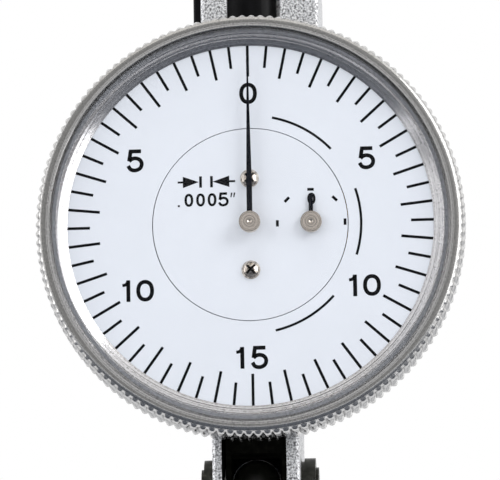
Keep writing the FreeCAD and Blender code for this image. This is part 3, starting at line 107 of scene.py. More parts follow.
# Cards round the dial in metres: name, place, size, tone and strength.
CARDS = (("front_card", (-0.02, -0.49, 0.09), (0.90, 1.15), "#8B8B8A", 1.0),
         ("front_patch", (-0.024, -0.46, 0.09), (0.13, 0.13), "#CFCFD0", 1.0),
         ("high_card", (0.0, -0.18, 0.37), (0.60, 0.30), "#F4F2EE", 1.0),
         ("right_card", (0.345, -0.225, 0.076), (0.28, 0.45), "#FFFFFF", 2.6),
         ("left_card", (-0.38, -0.09, 0.076), (0.14, 0.45), "#FFFFFF", 2.0))


def linear(code):
    """Linear colour of an sRGB hex value such as #C0C4C8."""
    parts = [int(code[i:i + 2], 16) / 255 for i in (1, 3, 5)]
    parts = [p / 12.92 if p <= 0.04045 else ((p + 0.055) / 1.055) ** 2.4 for p in parts]
    return (*parts, 1.0)


def length(title, text, default):
    """A size in the sidebar, with its default in millimetres."""
    return FloatProperty(name=title, description=text, default=default * MM,
                         min=0.0, precision=5, unit="LENGTH")


def colour(title, text, code):
    """A colour in the sidebar, from its sRGB hex value."""
    return FloatVectorProperty(name=title, description=text, default=linear(code),
                               size=4, min=0.0, max=1.0, subtype="COLOR")


# ================================================================ settings
class IndicatorDial(bpy.types.PropertyGroup):
    """Printing on the turning dial ring and on the fixed centre disc."""
    ink: length("Ink", "Thickness of the printed ink", 0.012)
    mark_width: length("Mark width", "Width of a graduation", 0.25)
    long_inner: length("Long marks from", "Inner radius of a long graduation", 13.66)
    short_inner: length("Short marks from", "Inner radius of a short graduation", 14.49)
    figure: length("Figure height", "Height of the numbers", 1.97)
    stroke: length("Figure stroke", "Stroke width of the numbers", 0.35)
    figure_radius: length("Figure radius", "Distance of the numbers from the centre", 12.08)
    arc_radius: length("Arc radius", "Radius of the three travel arcs", 10.0)
    arc_width: length("Arc width", "Stroke width of the travel arcs", 0.22)
    unit_figure: length("Unit height", "Height of the graduation value", 1.2)
    unit_stroke: length("Unit stroke", "Stroke width of the graduation value", 0.22)
    counter_radius: length("Counter radius", "Radius of the counter's dashes", 3.05)
    face: colour("Dial", "White lacquer of the dial", "#ECEFF2")
    print: colour("Print", "Black screen-printed ink", "#050608")


class IndicatorBezel(bpy.types.PropertyGroup):
    """Turned bezel ring with a coin edge, and the crystal in it."""
    teeth: IntProperty(name="Teeth", description="Scallops round the coin edge",
                       default=144, min=12)
    depth: length("Scallop depth", "Depth of the coin edge", 0.34)
    sight: length("Sight radius", "Edge of the visible dial", 16.5)
    sight_edge: length("Sight edge", "Thickness of the ring's edge over the dial", 0.08)
    bore: length("Bore", "Bore radius behind the dial", 17.06)
    ledge: length("Ledge radius", "Where the sight cone meets the crystal's ledge", 17.5)
    ledge_rise: length("Ledge height", "Height of the ledge over the dial", 0.62)
    seat: length("Crystal seat", "Radius of the crystal's seat", 17.92)
    seat_bevel: length("Seat bevel", "Width of the bevel round the crystal", 0.2)
    lip: length("Lip radius", "Outer edge of the flat front lip", 18.35)
    lip_fall: length("Lip fall", "How far the lip's rounding falls back", 0.13)
    shoulder: length("Shoulder", "Radius where the coin edge starts", 18.95)
    shoulder_rise: length("Shoulder height", "Height of the shoulder over the dial", 0.85)
    wall: length("Crystal wall", "Radius of the crystal's raised edge", 17.5)
    wall_thick: length("Crystal wall thickness", "Wall under the crystal's edge", 0.55)
    dome_thick: length("Dome thickness", "Thickness of the crystal's dome", 0.72)
    crown: length("Crown", "Height of the crystal's dome", 0.95)
    rim: length("Crystal rim", "Thickness of the crystal's flange", 0.43)
    bevel: length("Crystal bevel", "Bevel of the crystal's raised edge", 0.3)
    steel: colour("Steel", "Fine-turned stainless steel", "#C9C8C7")


class IndicatorBody(bpy.types.PropertyGroup):
    """Finishes of the body, its covers and its lever."""
    chrome: colour("Chrome", "Satin chrome of the frame", "#E2E3E6")
    enamel: colour("Enamel", "Black enamel of the covers", "#08080A")
    oxide: colour("Black oxide", "Blackened steel of the lever parts", "#3B3B35")
    nickel: colour("Nickel", "Bright nickel of hubs and screws", "#CFC6BA")
    brass: colour("Brass", "Brass of the wheels", "#C9A35A")
    hub: length("Hub", "Thickness of the main hub's disc", 0.55)
    counter_hub: length("Counter hub", "Thickness of the counter hub's disc", 0.38)
    hub_stem: length("Hub stem", "Radius of the hubs behind their discs", 0.64)


class IndicatorStage(bpy.types.PropertyGroup):
    """Camera, lamps and floor."""
    distance: length("Distance", "From the dial to the camera", 360.0)
    azimuth: FloatProperty(name="Azimuth", description="Camera's turn to the right",
                           default=math.radians(2.70), unit="ROTATION")
    elevation: FloatProperty(name="Elevation", description="Camera's height angle",
                             default=math.radians(-10.95), unit="ROTATION")
    roll: FloatProperty(name="Roll", description="Camera's tilt about its view",
                        default=math.radians(-0.964), unit="ROTATION")
    aim: length("Aim", "How far below the dial's middle the camera aims", 1.44)
    aside: length("Aside", "How far left of the dial's middle the camera aims", 0.05)
    lens: FloatProperty(name="Lens", description="Focal length in millimetres",
                        default=287.5, min=1.0)
    floor: length("Floor", "Depth of the floor below the dial's middle", 115.0)
    key: FloatProperty(name="Key", description="Power of the key lamp in watts",
                       default=1.5, min=0.0)
    fill: FloatProperty(name="Fill", description="Power of each fill lamp in watts",
                        default=1.0, min=0.0)
    soft: FloatProperty(name="Soft light", description="Strength of the light all round",
                        default=0.58, min=0.0)


# ================================================================ materials
def add(tree, kind, values=None, links=None, stops=None, **settings):
    """Adds a node with its settings, input values, incoming links and ramp stops."""
    node = tree.nodes.new(kind)
    for name, value in settings.items():
        setattr(node, name, value)
    for name, value in (values or {}).items():
        node.inputs[name].default_value = value
    for name, socket in (links or {}).items():
        tree.links.new(socket, node.inputs[name])
    if stops:
        elements = node.color_ramp.elements
        while len(elements) < len(stops):
            elements.new(0.5)
        for element, (position, value) in zip(elements, stops):
            element.position, element.color = position, value
    return node


def new_material(name, values):
    """Material with these shader values; also gives its tree, shader and place in mm."""
    material = bpy.data.materials.new(name)
    material.use_nodes = True
    tree = material.node_tree
    tree.nodes.clear()
    shader = add(tree, "ShaderNodeBsdfPrincipled", values)
    add(tree, "ShaderNodeOutputMaterial", links={"Surface": shader.outputs[0]})
    corner = add(tree, "ShaderNodeTexCoord")
    place = add(tree, "ShaderNodeVectorMath", {1: (1000, 1000, 1000)},
                {0: corner.outputs["Object"]}, operation="MULTIPLY")
    return material, tree, shader, place.outputs[0]


def shade(value, factor):
    """The same colour, darker or lighter by a factor."""
    return (*[min(1.0, c * factor) for c in value[:3]], 1.0)


def work(tree, shader, pattern, tones, rough, relief):
    """Lets a pattern drive the tone, the roughness and the relief (in mm) of a finish."""
    tone = add(tree, "ShaderNodeValToRGB", links={0: pattern}, stops=tones)
    gloss = add(tree, "ShaderNodeMapRange", {"To Min": rough[0], "To Max": rough[1]},
                {0: pattern})
    bump = add(tree, "ShaderNodeBump", {"Strength": relief[0], "Distance": relief[1] * MM},
               {"Height": pattern})
    tree.links.new(tone.outputs[0], shader.inputs["Base Color"])
    tree.links.new(gloss.outputs[0], shader.inputs["Roughness"])
    tree.links.new(bump.outputs[0], shader.inputs["Normal"])
    return tone


def from_axis(tree, place, centre):
    """Distance in millimetres from an axis along Y through the centre."""
    moved = add(tree, "ShaderNodeVectorMath", {1: centre}, {0: place}, operation="SUBTRACT")
    flat = add(tree, "ShaderNodeVectorMath", {1: (1, 0, 1)}, {0: moved.outputs[0]},
               operation="MULTIPLY")
    radius = add(tree, "ShaderNodeVectorMath", links={0: flat.outputs[0]}, operation="LENGTH")
    return radius.outputs["Value"]


def mottled(name, values, size, detail, tones, rough, relief):
    """Finish whose tone, roughness and relief follow a cloud of this size in mm."""
    material, tree, shader, place = new_material(name, values)
    cloud = add(tree, "ShaderNodeTexNoise", {"Scale": 1 / size, "Detail": detail},
                {"Vector": place})
    work(tree, shader, cloud.outputs[0], tones, rough, relief)
    return material


def satin_chrome(settings):
    """Satin chrome over a blasted steel frame: pale, with dark grit and a fine sparkle.

    The grit is 0.05 mm; its grain is drawn 0.2 mm wide so that it shows.
    The channel between the cheeks is painted near black, with little metal and gloss, as
    painted shade.
    """
    material, tree, shader, place = new_material("satin_chrome", {})
    base = settings.chrome
    grain = add(tree, "ShaderNodeTexNoise", {"Scale": 1 / 0.2, "Detail": 1.5,
                                             "Roughness": 0.65}, {"Vector": place})
    tone = work(tree, shader, grain.outputs[0],
                [(0.36, shade(base, 0.16)), (0.45, shade(base, 0.62)), (0.54, base),
                 (0.66, shade(base, 1.5))], (0.3, 0.5), (0.6, 0.03))
    split = add(tree, "ShaderNodeSeparateXYZ", links={0: place})
    front = BODY[0][1] / MM
    left, right = CHANNEL_WALLS
    walls = (("X", "GREATER_THAN", left), ("X", "LESS_THAN", right),
             ("Y", "GREATER_THAN", front + CHANNEL_LIP),
             ("Y", "LESS_THAN", front + CHANNEL_DEPTH), ("Z", "LESS_THAN", CHANNEL_TOP))
    sides = [add(tree, "ShaderNodeMath", {1: limit}, {0: split.outputs[axis]},
                 operation=test).outputs[0] for axis, test, limit in walls]
    painted_shade_mask = sides[0]
    for side in sides[1:]:
        painted_shade_mask = add(tree, "ShaderNodeMath", links={0: painted_shade_mask, 1: side},
                     operation="MULTIPLY").outputs[0]
    # Painted shade: the channel between the cheeks is near black, with its metal and gloss
    # turned down.
    with_painted_shade = add(tree, "ShaderNodeMix", {7: linear("#040405")},
                {0: painted_shade_mask, 6: tone.outputs[0]}, data_type="RGBA")
    metal = add(tree, "ShaderNodeMapRange", {"To Min": 0.5, "To Max": 0.0}, {0: painted_shade_mask})
    shine = add(tree, "ShaderNodeMapRange", {"To Min": 0.5, "To Max": 0.1}, {0: painted_shade_mask})
    tree.links.new(with_painted_shade.outputs[2], shader.inputs["Base Color"])
    tree.links.new(metal.outputs[0], shader.inputs["Metallic"])
    tree.links.new(shine.outputs[0], shader.inputs["Specular IOR Level"])
    return material


def black_enamel(settings):
    """Stoved black enamel: deep black with a soft gloss and a faint orange peel."""
    base = settings.enamel
    return mottled("black_enamel", {"Specular IOR Level": 0.15}, 0.9, 2.0,
                   [(0.3, shade(base, 0.7)), (0.7, shade(base, 1.5))],
                   (0.26, 0.34), (0.15, 0.02))


def black_oxide(name, base, metal, gloss):
    """Blackened steel: near black with an oily olive cast and lighter rubbed spots."""
    return mottled(name, {"Metallic": metal, "Specular IOR Level": gloss}, 0.6, 4.0,
                   [(0.35, shade(base, 0.5)), (0.6, base), (0.75, shade(base, 2.0))],
                   (0.25, 0.45), (0.2, 0.01))


def oxide_with_painted_rim_highlight(settings):
    """Polished black oxide, darker as painted shade, with a painted highlight: a bright
    narrow ring round the ball's front.
    """
    # Painted shade: the ball deep in the channel gets a darker copy of the oxide.
    material = black_oxide("dark_oxide_with_painted_rim_highlight", shade(settings.oxide, 0.35), 0.2, 0.4)
    tree = material.node_tree
    shader = next(n for n in tree.nodes if n.type == "BSDF_PRINCIPLED")
    black = shader.inputs["Base Color"].links[0].from_socket
    corner = add(tree, "ShaderNodeTexCoord")
    split = add(tree, "ShaderNodeSeparateXYZ", links={0: corner.outputs["Generated"]})
    depth = add(tree, "ShaderNodeMapRange", {"From Max": 0.5}, {0: split.outputs["Y"]})
    dark, bright = (0, 0, 0, 1), (1, 1, 1, 1)
    ring = add(tree, "ShaderNodeValToRGB", links={0: depth.outputs[0]},
               stops=[(0.56, dark), (0.61, bright), (0.72, bright), (0.77, dark)])
    cloud = add(tree, "ShaderNodeTexNoise", {"Scale": 1.2 / MM, "Detail": 3.0},
                {"Vector": corner.outputs["Object"]})
    # The cloud breaks up the painted rim highlight.
    rubbed = add(tree, "ShaderNodeMapRange", {"From Min": 0.4, "From Max": 0.55,
                                              "To Min": 0.25}, {0: cloud.outputs[0]})
    rim_highlight_mask = add(tree, "ShaderNodeMath", links={0: rubbed.outputs[0], 1: ring.outputs[0]},
                 operation="MULTIPLY")
    # Painted highlight: white along a narrow ring round the ball's front.
    painted_rim_highlight = add(tree, "ShaderNodeMix", {7: linear("#FFFFFF")},
               {0: rim_highlight_mask.outputs[0], 6: black}, data_type="RGBA")
    tree.links.new(painted_rim_highlight.outputs[2], shader.inputs["Base Color"])
    return material


def turned_steel(settings):
    """Fine-turned stainless steel: grey, with ring marks from the lathe and pits.

    The feed marks are 0.05 mm apart; they are drawn 0.12 mm apart so that they show.
    Two dark lines of painted shade mark the gaps at the crystal's edge.
    """
    material, tree, shader, place = new_material("turned_steel", {"Metallic": 1.0})
    base = settings.steel
    radius = from_axis(tree, place, (0, 0, 0))
    marks = add(tree, "ShaderNodeTexNoise", {"Scale": 1 / 0.12, "Detail": 2.0},
                {"W": radius}, noise_dimensions="1D")
    pits = add(tree, "ShaderNodeTexNoise", {"Scale": 1 / 0.16}, {"Vector": place})
    both = add(tree, "ShaderNodeMix", {0: 0.45}, {2: marks.outputs[0], 3: pits.outputs[0]},
               data_type="FLOAT")
    tone = work(tree, shader, both.outputs[0],
                [(0.32, shade(base, 0.5)), (0.46, base), (0.62, shade(base, 1.25))],
                (0.1, 0.24), (0.3, 0.01))
    # Painted shade: two dark lines where the crystal's edge meets the bezel.
    seat = settings.seat / MM
    across = add(tree, "ShaderNodeMapRange", {"From Min": seat - 0.5, "From Max": seat + 0.1},
                 {0: radius})
    dark, plain = linear("#3A3B3E"), (1, 1, 1, 1)
    gap_shade_lines = add(tree, "ShaderNodeValToRGB", links={0: across.outputs[0]},
                stops=[(0.40, plain), (0.45, dark), (0.50, plain), (0.75, plain),
                       (0.79, dark), (0.83, plain)])
    with_painted_shade = add(tree, "ShaderNodeMix", {0: 1.0}, {6: tone.outputs[0], 7: gap_shade_lines.outputs[0]},
                data_type="RGBA", blend_type="MULTIPLY")
    tree.links.new(with_painted_shade.outputs[2], shader.inputs["Base Color"])
    return material


def nickel_plate(settings, name, centre):
    """Nickel-plated brass: warm grey, turned in fine rings about one centre."""
    material, tree, shader, place = new_material(name, {"Metallic": 1.0})
    base = settings.nickel
    marks = add(tree, "ShaderNodeTexNoise", {"Scale": 1 / 0.09, "Detail": 2.0},
                {"W": from_axis(tree, place, centre)}, noise_dimensions="1D")
    work(tree, shader, marks.outputs[0], [(0.3, shade(base, 0.55)), (0.5, base),
                                          (0.7, shade(base, 1.5))],
         (0.2, 0.3), (0.4, 0.01))
    return material


def worked_metal(name, base, roughness, grain):
    """A worked metal with a fine mottle of this grain in millimetres."""
    return mottled(name, {"Metallic": 1.0}, grain, 3.0,
                   [(0.3, shade(base, 0.75)), (0.5, base), (0.72, shade(base, 1.25))],
                   (roughness * 0.75, roughness * 1.25), (0.15, 0.005))


def nickel_with_painted_recess_shade(settings, offset):
    """Bright nickel of the two dial screws, with painted shade in their cross recesses."""
    material, tree, shader, place = new_material("nickel_with_painted_recess_shade", {"Metallic": 1.0})
    base = settings.nickel
    cloud = add(tree, "ShaderNodeTexNoise", {"Scale": 1 / 0.3, "Detail": 3.0},
                {"Vector": place})
    tone = work(tree, shader, cloud.outputs[0], [(0.35, shade(base, 0.6)),
                                                 (0.6, shade(base, 1.2))],
                (0.1, 0.2), (0.3, 0.02))
    both = add(tree, "ShaderNodeVectorMath", links={0: place}, operation="ABSOLUTE")
    radius = from_axis(tree, both.outputs[0], (0, 0, offset))
    near = add(tree, "ShaderNodeMath", {1: RECESS_RADIUS}, {0: radius},
               operation="LESS_THAN")
    split = add(tree, "ShaderNodeSeparateXYZ", links={0: place})
    deep = add(tree, "ShaderNodeMath", {1: FACE_Y / MM - RECESS_DEPTH},
               {0: split.outputs["Y"]}, operation="GREATER_THAN")
    recess = add(tree, "ShaderNodeMath", links={0: near.outputs[0], 1: deep.outputs[0]},
                 operation="MULTIPLY")
    # Painted shade: near black inside the cross recesses.
    recess_shaded = add(tree, "ShaderNodeMix", {7: linear("#0C0B0A")},
               {0: recess.outputs[0], 6: tone.outputs[0]}, data_type="RGBA")
    tree.links.new(recess_shaded.outputs[2], shader.inputs["Base Color"])
    return material


def dial_lacquer(settings):
    """White lacquer on sheet aluminium: cool, smooth, with a barely uneven tone."""
    base = settings.face
    return mottled("white_dial_lacquer", {"Specular IOR Level": 0.3}, 3.0, 3.0,
                   [(0.3, shade(base, 0.985)), (0.7, base)], (0.45, 0.55), (0.05, 0.01))


def printed_ink(settings):
    """Screen-printed black ink: matt, with slightly uneven cover."""
    base = settings.print
    return mottled("screen_printed_ink", {"Specular IOR Level": 0.05}, 0.25, 3.0,
                   [(0.3, base), (0.75, shade(base, 2.2))], (0.5, 0.65), (0.1, 0.004))


def hand_paint():
    """Satin black paint on a stamped hand: a soft sheen along the blade."""
    return mottled("satin_black_hand_paint", {"Specular IOR Level": 0.05}, 0.4, 3.0,
                   [(0.3, linear("#06080E")), (0.75, linear("#10131C"))],
                   (0.3, 0.45), (0.1, 0.004))


def clear_acrylic():
    """Coated acrylic: water-clear, with weak reflections and faint wiping marks."""
    material, tree, shader, place = new_material(
        "clear_acrylic", {"Base Color": linear("#FDFDFF"), "IOR": 1.2,
                          "Transmission Weight": 1.0})
    wipe = add(tree, "ShaderNodeTexNoise", {"Scale": 1 / 6.0}, {"Vector": place})
    smear = add(tree, "ShaderNodeMapRange", {"To Min": 0.0, "To Max": 0.02},
                {0: wipe.outputs[0]})
    tree.links.new(smear.outputs[0], shader.inputs["Roughness"])
    path = add(tree, "ShaderNodeLightPath")
    past = add(tree, "ShaderNodeMath", links={0: path.outputs["Is Shadow Ray"],
                                              1: path.outputs["Is Diffuse Ray"]},
               operation="MAXIMUM")
    clear = add(tree, "ShaderNodeBsdfTransparent", {"Color": linear("#F8F9FB")})
    mixed = add(tree, "ShaderNodeMixShader", links={0: past.outputs[0], 1: shader.outputs[0],
                                                    2: clear.outputs[0]})
    output = next(n for n in tree.nodes if n.type == "OUTPUT_MATERIAL")
    tree.links.new(mixed.outputs[0], output.inputs["Surface"])
    return material


def ruby():
    """Synthetic ruby: clear deep red, polished."""
    return mottled("synthetic_ruby", {"IOR": 1.76, "Transmission Weight": 0.4}, 0.5, 2.0,
                   [(0.3, linear("#8C0A2A")), (0.7, linear("#C41E48"))],
                   (0.05, 0.1), (0.05, 0.005))


def nitrile():
    """Moulded grey nitrile rubber: matt, slightly dusty."""
    return mottled("grey_nitrile_rubber", {"Specular IOR Level": 0.2}, 0.2, 4.0,
                   [(0.3, linear("#77787A")), (0.75, linear("#A0A1A2"))],
                   (0.6, 0.75), (0.1, 0.01))


def pale_paper():
    """Uncoated background paper: pale, matt and faintly fibrous."""
    return mottled("pale_paper", {"Specular IOR Level": 0.1}, 4.0, 4.0,
                   [(0.3, linear("#E9EAEC")), (0.7, linear("#F1F2F3"))],
                   (0.85, 0.95), (0.05, 0.05))


def dress(material, *names):
    """Gives carried-over solids their finish."""
    for name in names:
        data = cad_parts[name].data
        data.materials.clear()
        data.materials.append(material)


# ================================================================ mesh work
def new_piece(name, mesh, material, body, slot, *replaced):
    """Turns a bmesh into a piece with smooth faces and sharp corners."""
    bmesh.ops.recalc_face_normals(mesh, faces=mesh.faces)
    for face in mesh.faces:
        face.smooth = True
    for edge in mesh.edges:
        if len(edge.link_faces) == 2 and edge.calc_face_angle() > math.radians(28):
            edge.smooth = False
    data = bpy.data.meshes.new(name)
    mesh.to_mesh(data)
    mesh.free()
    data.materials.append(material)
    piece = bpy.data.objects.new(name, data)
    bpy.context.scene.collection.objects.link(piece)
    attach(piece, body)
    if replaced:
        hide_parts(*replaced)


def revolve(mesh, profile, steps, centre=(0.0, 0.0), closed=True, reach=None):
    """Turns a (radius, y) profile about an axis along Y; reach changes a radius by angle."""
    loops = []
    for row, (radius, y) in enumerate(profile):
        if radius == 0:
            loops.append([mesh.verts.new((centre[0], y, centre[1]))])
            continue
        loop = []
        for i in range(steps):
            angle = 2 * math.pi * i / steps
            r = reach(row, angle) if reach else radius
            loop.append(mesh.verts.new((centre[0] + r * math.sin(angle), y,
                                        centre[1] + r * math.cos(angle))))
        loops.append(loop)
    for a, b in zip(loops, loops[1:] + (loops[:1] if closed else [])):
        for i in range(steps):
            j = (i + 1) % steps
            if len(a) == 1 and len(b) == 1:
                break
            if len(a) == 1:
                mesh.faces.new((a[0], b[i], b[j]))
            elif len(b) == 1:
                mesh.faces.new((a[i], b[0], a[j]))
            else:
                mesh.faces.new((a[i], b[i], b[j], a[j]))


def slab(mesh, outline, y, thick):
    """Thin flat plate from an (x, z) outline, standing off towards the front from y."""
    front = [mesh.verts.new((x, y - thick, z)) for x, z in outline]
    back = [mesh.verts.new((x, y, z)) for x, z in outline]
    mesh.faces.new(front)
    mesh.faces.new(back[::-1])
    for i in range(len(outline)):
        j = (i + 1) % len(outline)
        mesh.faces.new((front[i], back[i], back[j], front[j]))


def ribbon(mesh, points, width, y, thick, closed=False):
    """Printed stroke of even width along (x, z) points, with square ends."""
    count = len(points)
    sides = []
    for i, point in enumerate(points):
        before = points[i - 1] if i or closed else point
        after = points[(i + 1) % count] if i < count - 1 or closed else point
        first = (Vector(point) - Vector(before)).normalized()
        second = (Vector(after) - Vector(point)).normalized()
        along = (first + second).normalized()
        across = Vector((-along.y, along.x))
        cosine = max(0.5, along.dot(second if second.length else first))
        half = width / 2 / cosine
        sides.append((Vector(point) + across * half, Vector(point) - across * half))
    rows = [[mesh.verts.new((p.x, depth, p.y)) for p in (left, right)
             for depth in (y, y - thick)] for left, right in sides]
    if not closed:
        mesh.faces.new((rows[0][0], rows[0][1], rows[0][3], rows[0][2]))
        mesh.faces.new((rows[-1][2], rows[-1][3], rows[-1][1], rows[-1][0]))
    for a, b in zip(rows, rows[1:] + (rows[:1] if closed else [])):
        mesh.faces.new((a[1], b[1], b[3], a[3]))
        mesh.faces.new((a[2], b[2], b[0], a[0]))
        mesh.faces.new((a[0], b[0], b[1], a[1]))
        mesh.faces.new((a[3], b[3], b[2], a[2]))


def eased(points, steps=8):
    """Smooth path through the points."""
    path = []
    for i in range(len(points) - 1):
        p0, p1 = Vector(points[max(i - 1, 0)]), Vector(points[i])
        p2, p3 = Vector(points[i + 1]), Vector(points[min(i + 2, len(points) - 1)])
        for k in range(steps):
            t = k / steps
            path.append(0.5 * (2 * p1 + (p2 - p0) * t
                               + (2 * p0 - 5 * p1 + 4 * p2 - p3) * t * t
                               + (3 * p1 - p0 - 3 * p2 + p3) * t * t * t))
    path.append(Vector(points[-1]))
    return [tuple(p) for p in path]


def clock(radius, degrees):
    """Point at a radius, clockwise from the top."""
    angle = math.radians(degrees)
    return radius * math.sin(angle), radius * math.cos(angle)


# ---- figures, drawn as strokes in a cell one unit high about its middle
FIGURE_PITCH = 0.87
ONE_FLAG = eased([(-0.17, 0.262), (-0.04, 0.285), (0.045, 0.36), (0.075, 0.455)])
FIVE_TOP = [(0.29, 0.447), (-0.19, 0.447), (-0.262, -0.015)]
FIVE_BOWL = eased([(-0.262, -0.015), (-0.14, 0.085), (0.03, 0.12), (0.22, 0.05),
                   (0.315, -0.13), (0.245, -0.345), (0.03, -0.445), (-0.19, -0.40),
                   (-0.31, -0.225)])


def zero_points(width, height):
    """Closed loop of a nought, a little squarer than an ellipse."""
    points = []
    for i in range(48):
        a = 2 * math.pi * i / 48
        c, s = math.cos(a), math.sin(a)
        points.append((width / 2 * math.copysign(abs(c) ** 0.9, c),
                       height / 2 * math.copysign(abs(s) ** 0.9, s)))
    return points


def figure(mesh, text, middle, height, stroke, y, thick, zero_width=0.81):
    """Row of figures about a middle (x, z)."""
    pitch = FIGURE_PITCH * height
    start = middle[0] - pitch * (len(text) - 1) / 2
    for place, letter in enumerate(text):
        x, z = start + place * pitch, middle[1]

        def put(points):
            """Points of the cell at the figure's own place and height."""
            return [(x + px * height, z + pz * height) for px, pz in points]
        if letter == "0":
            loop = zero_points(zero_width * height - stroke, height - stroke)
            ribbon(mesh, [(x + px, z + pz) for px, pz in loop], stroke, y, thick, True)
        elif letter == "1":
            ribbon(mesh, put([(0.1, 0.5), (0.1, -0.5)]), stroke, y, thick)
            ribbon(mesh, put(ONE_FLAG), stroke * 0.8, y, thick)
        elif letter == "5":
            ribbon(mesh, put(FIVE_TOP), stroke, y, thick)
            ribbon(mesh, put(FIVE_BOWL), stroke, y, thick)


# ================================================================ pieces
class IndicatorPrintRing(bpy.types.Operator):
    """Prints the graduations, figures and travel arcs on the turning dial ring"""
    bl_idname = "indicator.print_ring"
    bl_label = "Dial ring print"

    def execute(self, context):
        dial = context.scene.indicator_dial
        mesh = bmesh.new()
        half = dial.mark_width / 2
        outer = DIAL_OUTER - MARK_MARGIN * MM
        for i in range(MARKS):
            inner = dial.long_inner if i % 2 == 0 else dial.short_inner
            turn = math.radians(360 / MARKS * i)
            c, s = math.cos(turn), math.sin(turn)
            corners = [(-half, inner), (half, inner), (half, outer), (-half, outer)]
            slab(mesh, [(x * c + z * s, z * c - x * s) for x, z in corners],
                 FACE_Y, dial.ink)
        for text, degrees, share, across, up in RING_FIGURES:
            x, z = clock(dial.figure_radius * share, degrees)
            middle = (x + across * MM, z + up * MM)
            figure(mesh, text, middle, dial.figure, dial.stroke, FACE_Y, dial.ink)
        for centre in ARC_CENTRES:
            path = [clock(dial.arc_radius, centre + ARC_HALF_ANGLE * (k / 12 - 1))
                    for k in range(25)]
            ribbon(mesh, path, dial.arc_width, FACE_Y, dial.ink)
        new_piece("dial_ring_print", mesh, printed_ink(dial), "bezel", "hand_black")
        return {"FINISHED"}


class IndicatorPrintDisc(bpy.types.Operator):
    """Prints the graduation value and the counter's scale on the fixed disc"""
    bl_idname = "indicator.print_disc"
    bl_label = "Centre disc print"

    def execute(self, context):
        dial = context.scene.indicator_dial
        mesh = bmesh.new()
        y, ink = DISC_FACE_Y, dial.ink

        def plate(points):
            """Flat printed shape with its corners in mm."""
            slab(mesh, [(x * MM, z * MM) for x, z in points], y, ink)

        def bar(x0, x1, z0, z1):
            """Printed rectangle between two sides and two heights in mm."""
            plate([(x0, z0), (x1, z0), (x1, z1), (x0, z1)])

        # Two arrows that point at a graduation's two edges.
        low, high = ARROW_ROW - ARROW_HALF, ARROW_ROW + ARROW_HALF
        for tail, base, tip, edge in ARROWS:
            bar(min(tail, base), max(tail, base), ARROW_ROW - ARROW_STROKE / 2,
                ARROW_ROW + ARROW_STROKE / 2)
            plate([(base, low), (base, high), (tip, ARROW_ROW)])
            bar(edge - EDGE_STROKE / 2, edge + EDGE_STROKE / 2, low, high)
        # Value of one graduation in inches.
        foot = VALUE_ROW - dial.unit_figure / MM / 2
        bar(POINT_LEFT, POINT_RIGHT, foot, foot + POINT_HEIGHT)
        for text, x in VALUE_FIGURES:
            figure(mesh, text, (x * MM, VALUE_ROW * MM), dial.unit_figure,
                   dial.unit_stroke, y, ink, zero_width=0.66)
        for x in INCH_MARKS:
            plate([(x + right, foot + up) for right, up in INCH_CORNERS])
        # Counter's scale.
        for degrees in (-90, -45, 0, 45, 90):
            x, z = clock(dial.counter_radius, degrees)
            dx, dz = clock(DASH_HALF * MM, degrees + 90)
            ribbon(mesh, [(COUNTER_X + x - dx, z - dz), (COUNTER_X + x + dx, z + dz)],
                   dial.mark_width, y, ink)
        figure(mesh, "0", (COUNTER_X + COUNTER_SHIFT * MM, COUNTER_ROW * MM),
               COUNTER_FIGURE * MM, dial.unit_stroke, y, ink, zero_width=0.69)
        new_piece("centre_disc_print", mesh, printed_ink(dial), "root", "hand_black")
        return {"FINISHED"}


class IndicatorBezelRing(bpy.types.Operator):
    """Builds the turned bezel with its scalloped coin edge"""
    bl_idname = "indicator.bezel_ring"
    bl_label = "Bezel ring"

    def execute(self, context):
        bezel = context.scene.indicator_bezel
        front, shoulder_y = BEZEL_FRONT, FACE_Y - bezel.shoulder_rise
        ledge_y = FACE_Y - bezel.ledge_rise
        bevel = bezel.seat_bevel
        profile = [(bezel.bore, BEZEL_BACK), (bezel.bore, FACE_Y), (bezel.sight, FACE_Y),
                   (bezel.sight, FACE_Y - bezel.sight_edge), (bezel.ledge, ledge_y),
                   (bezel.seat, ledge_y), (bezel.seat, front + bevel * 0.8),
                   (bezel.seat + bevel, front)]
        # Rounded lip: it bends over by 24 degrees, then drops to the shoulder.
        bend, steps = math.radians(24), 7
        for k in range(steps + 1):
            out = math.sin(bend * k / steps) / math.sin(bend)
            fall = (1 - math.cos(bend * k / steps)) / (1 - math.cos(bend))
            profile.append((bezel.lip + (bezel.shoulder - bezel.lip) * out,
                            front + bezel.lip_fall * fall))
        profile.append((bezel.shoulder, shoulder_y))
        plain = len(profile)
        # Rows of the coin edge: place along Y in mm, then how far root and tip have risen.
        rows = [(0.16, 0.5, 0.45), (0.34, 0.95, 0.74), (0.55, 1.0, 0.91), (0.8, 1.0, 1.0),
                (3.4, 1.0, 1.0), (3.62, 1.0, 0.86), (3.78, 1.0, 0.55), (3.85, 1.0, 0.2)]
        root = KNURL_OUTER - bezel.depth
        for row in rows:
            profile.append((root, shoulder_y + row[0] * MM))
        teeth = bezel.teeth
        span = root - bezel.shoulder

        def reach(row, angle):
            """Radius of a row of the profile at an angle round the coin edge."""
            radius = profile[row][0]
            if row < plain:
                return radius
            low, high = rows[row - plain][1:]
            across = 2 * ((angle * teeth / (2 * math.pi)) % 1) - 1
            rise = math.cos(across * math.pi / 2) ** 0.8
            floor_r = bezel.shoulder + span * low
            tip_r = max(bezel.shoulder + (KNURL_OUTER - bezel.shoulder) * high, floor_r)
            return floor_r + (tip_r - floor_r) * rise
        mesh = bmesh.new()
        revolve(mesh, profile, teeth * 10, reach=reach)
        new_piece("bezel_ring_turned", mesh, turned_steel(bezel), "bezel", "turned_steel",
                  "bezel_ring")
        return {"FINISHED"}


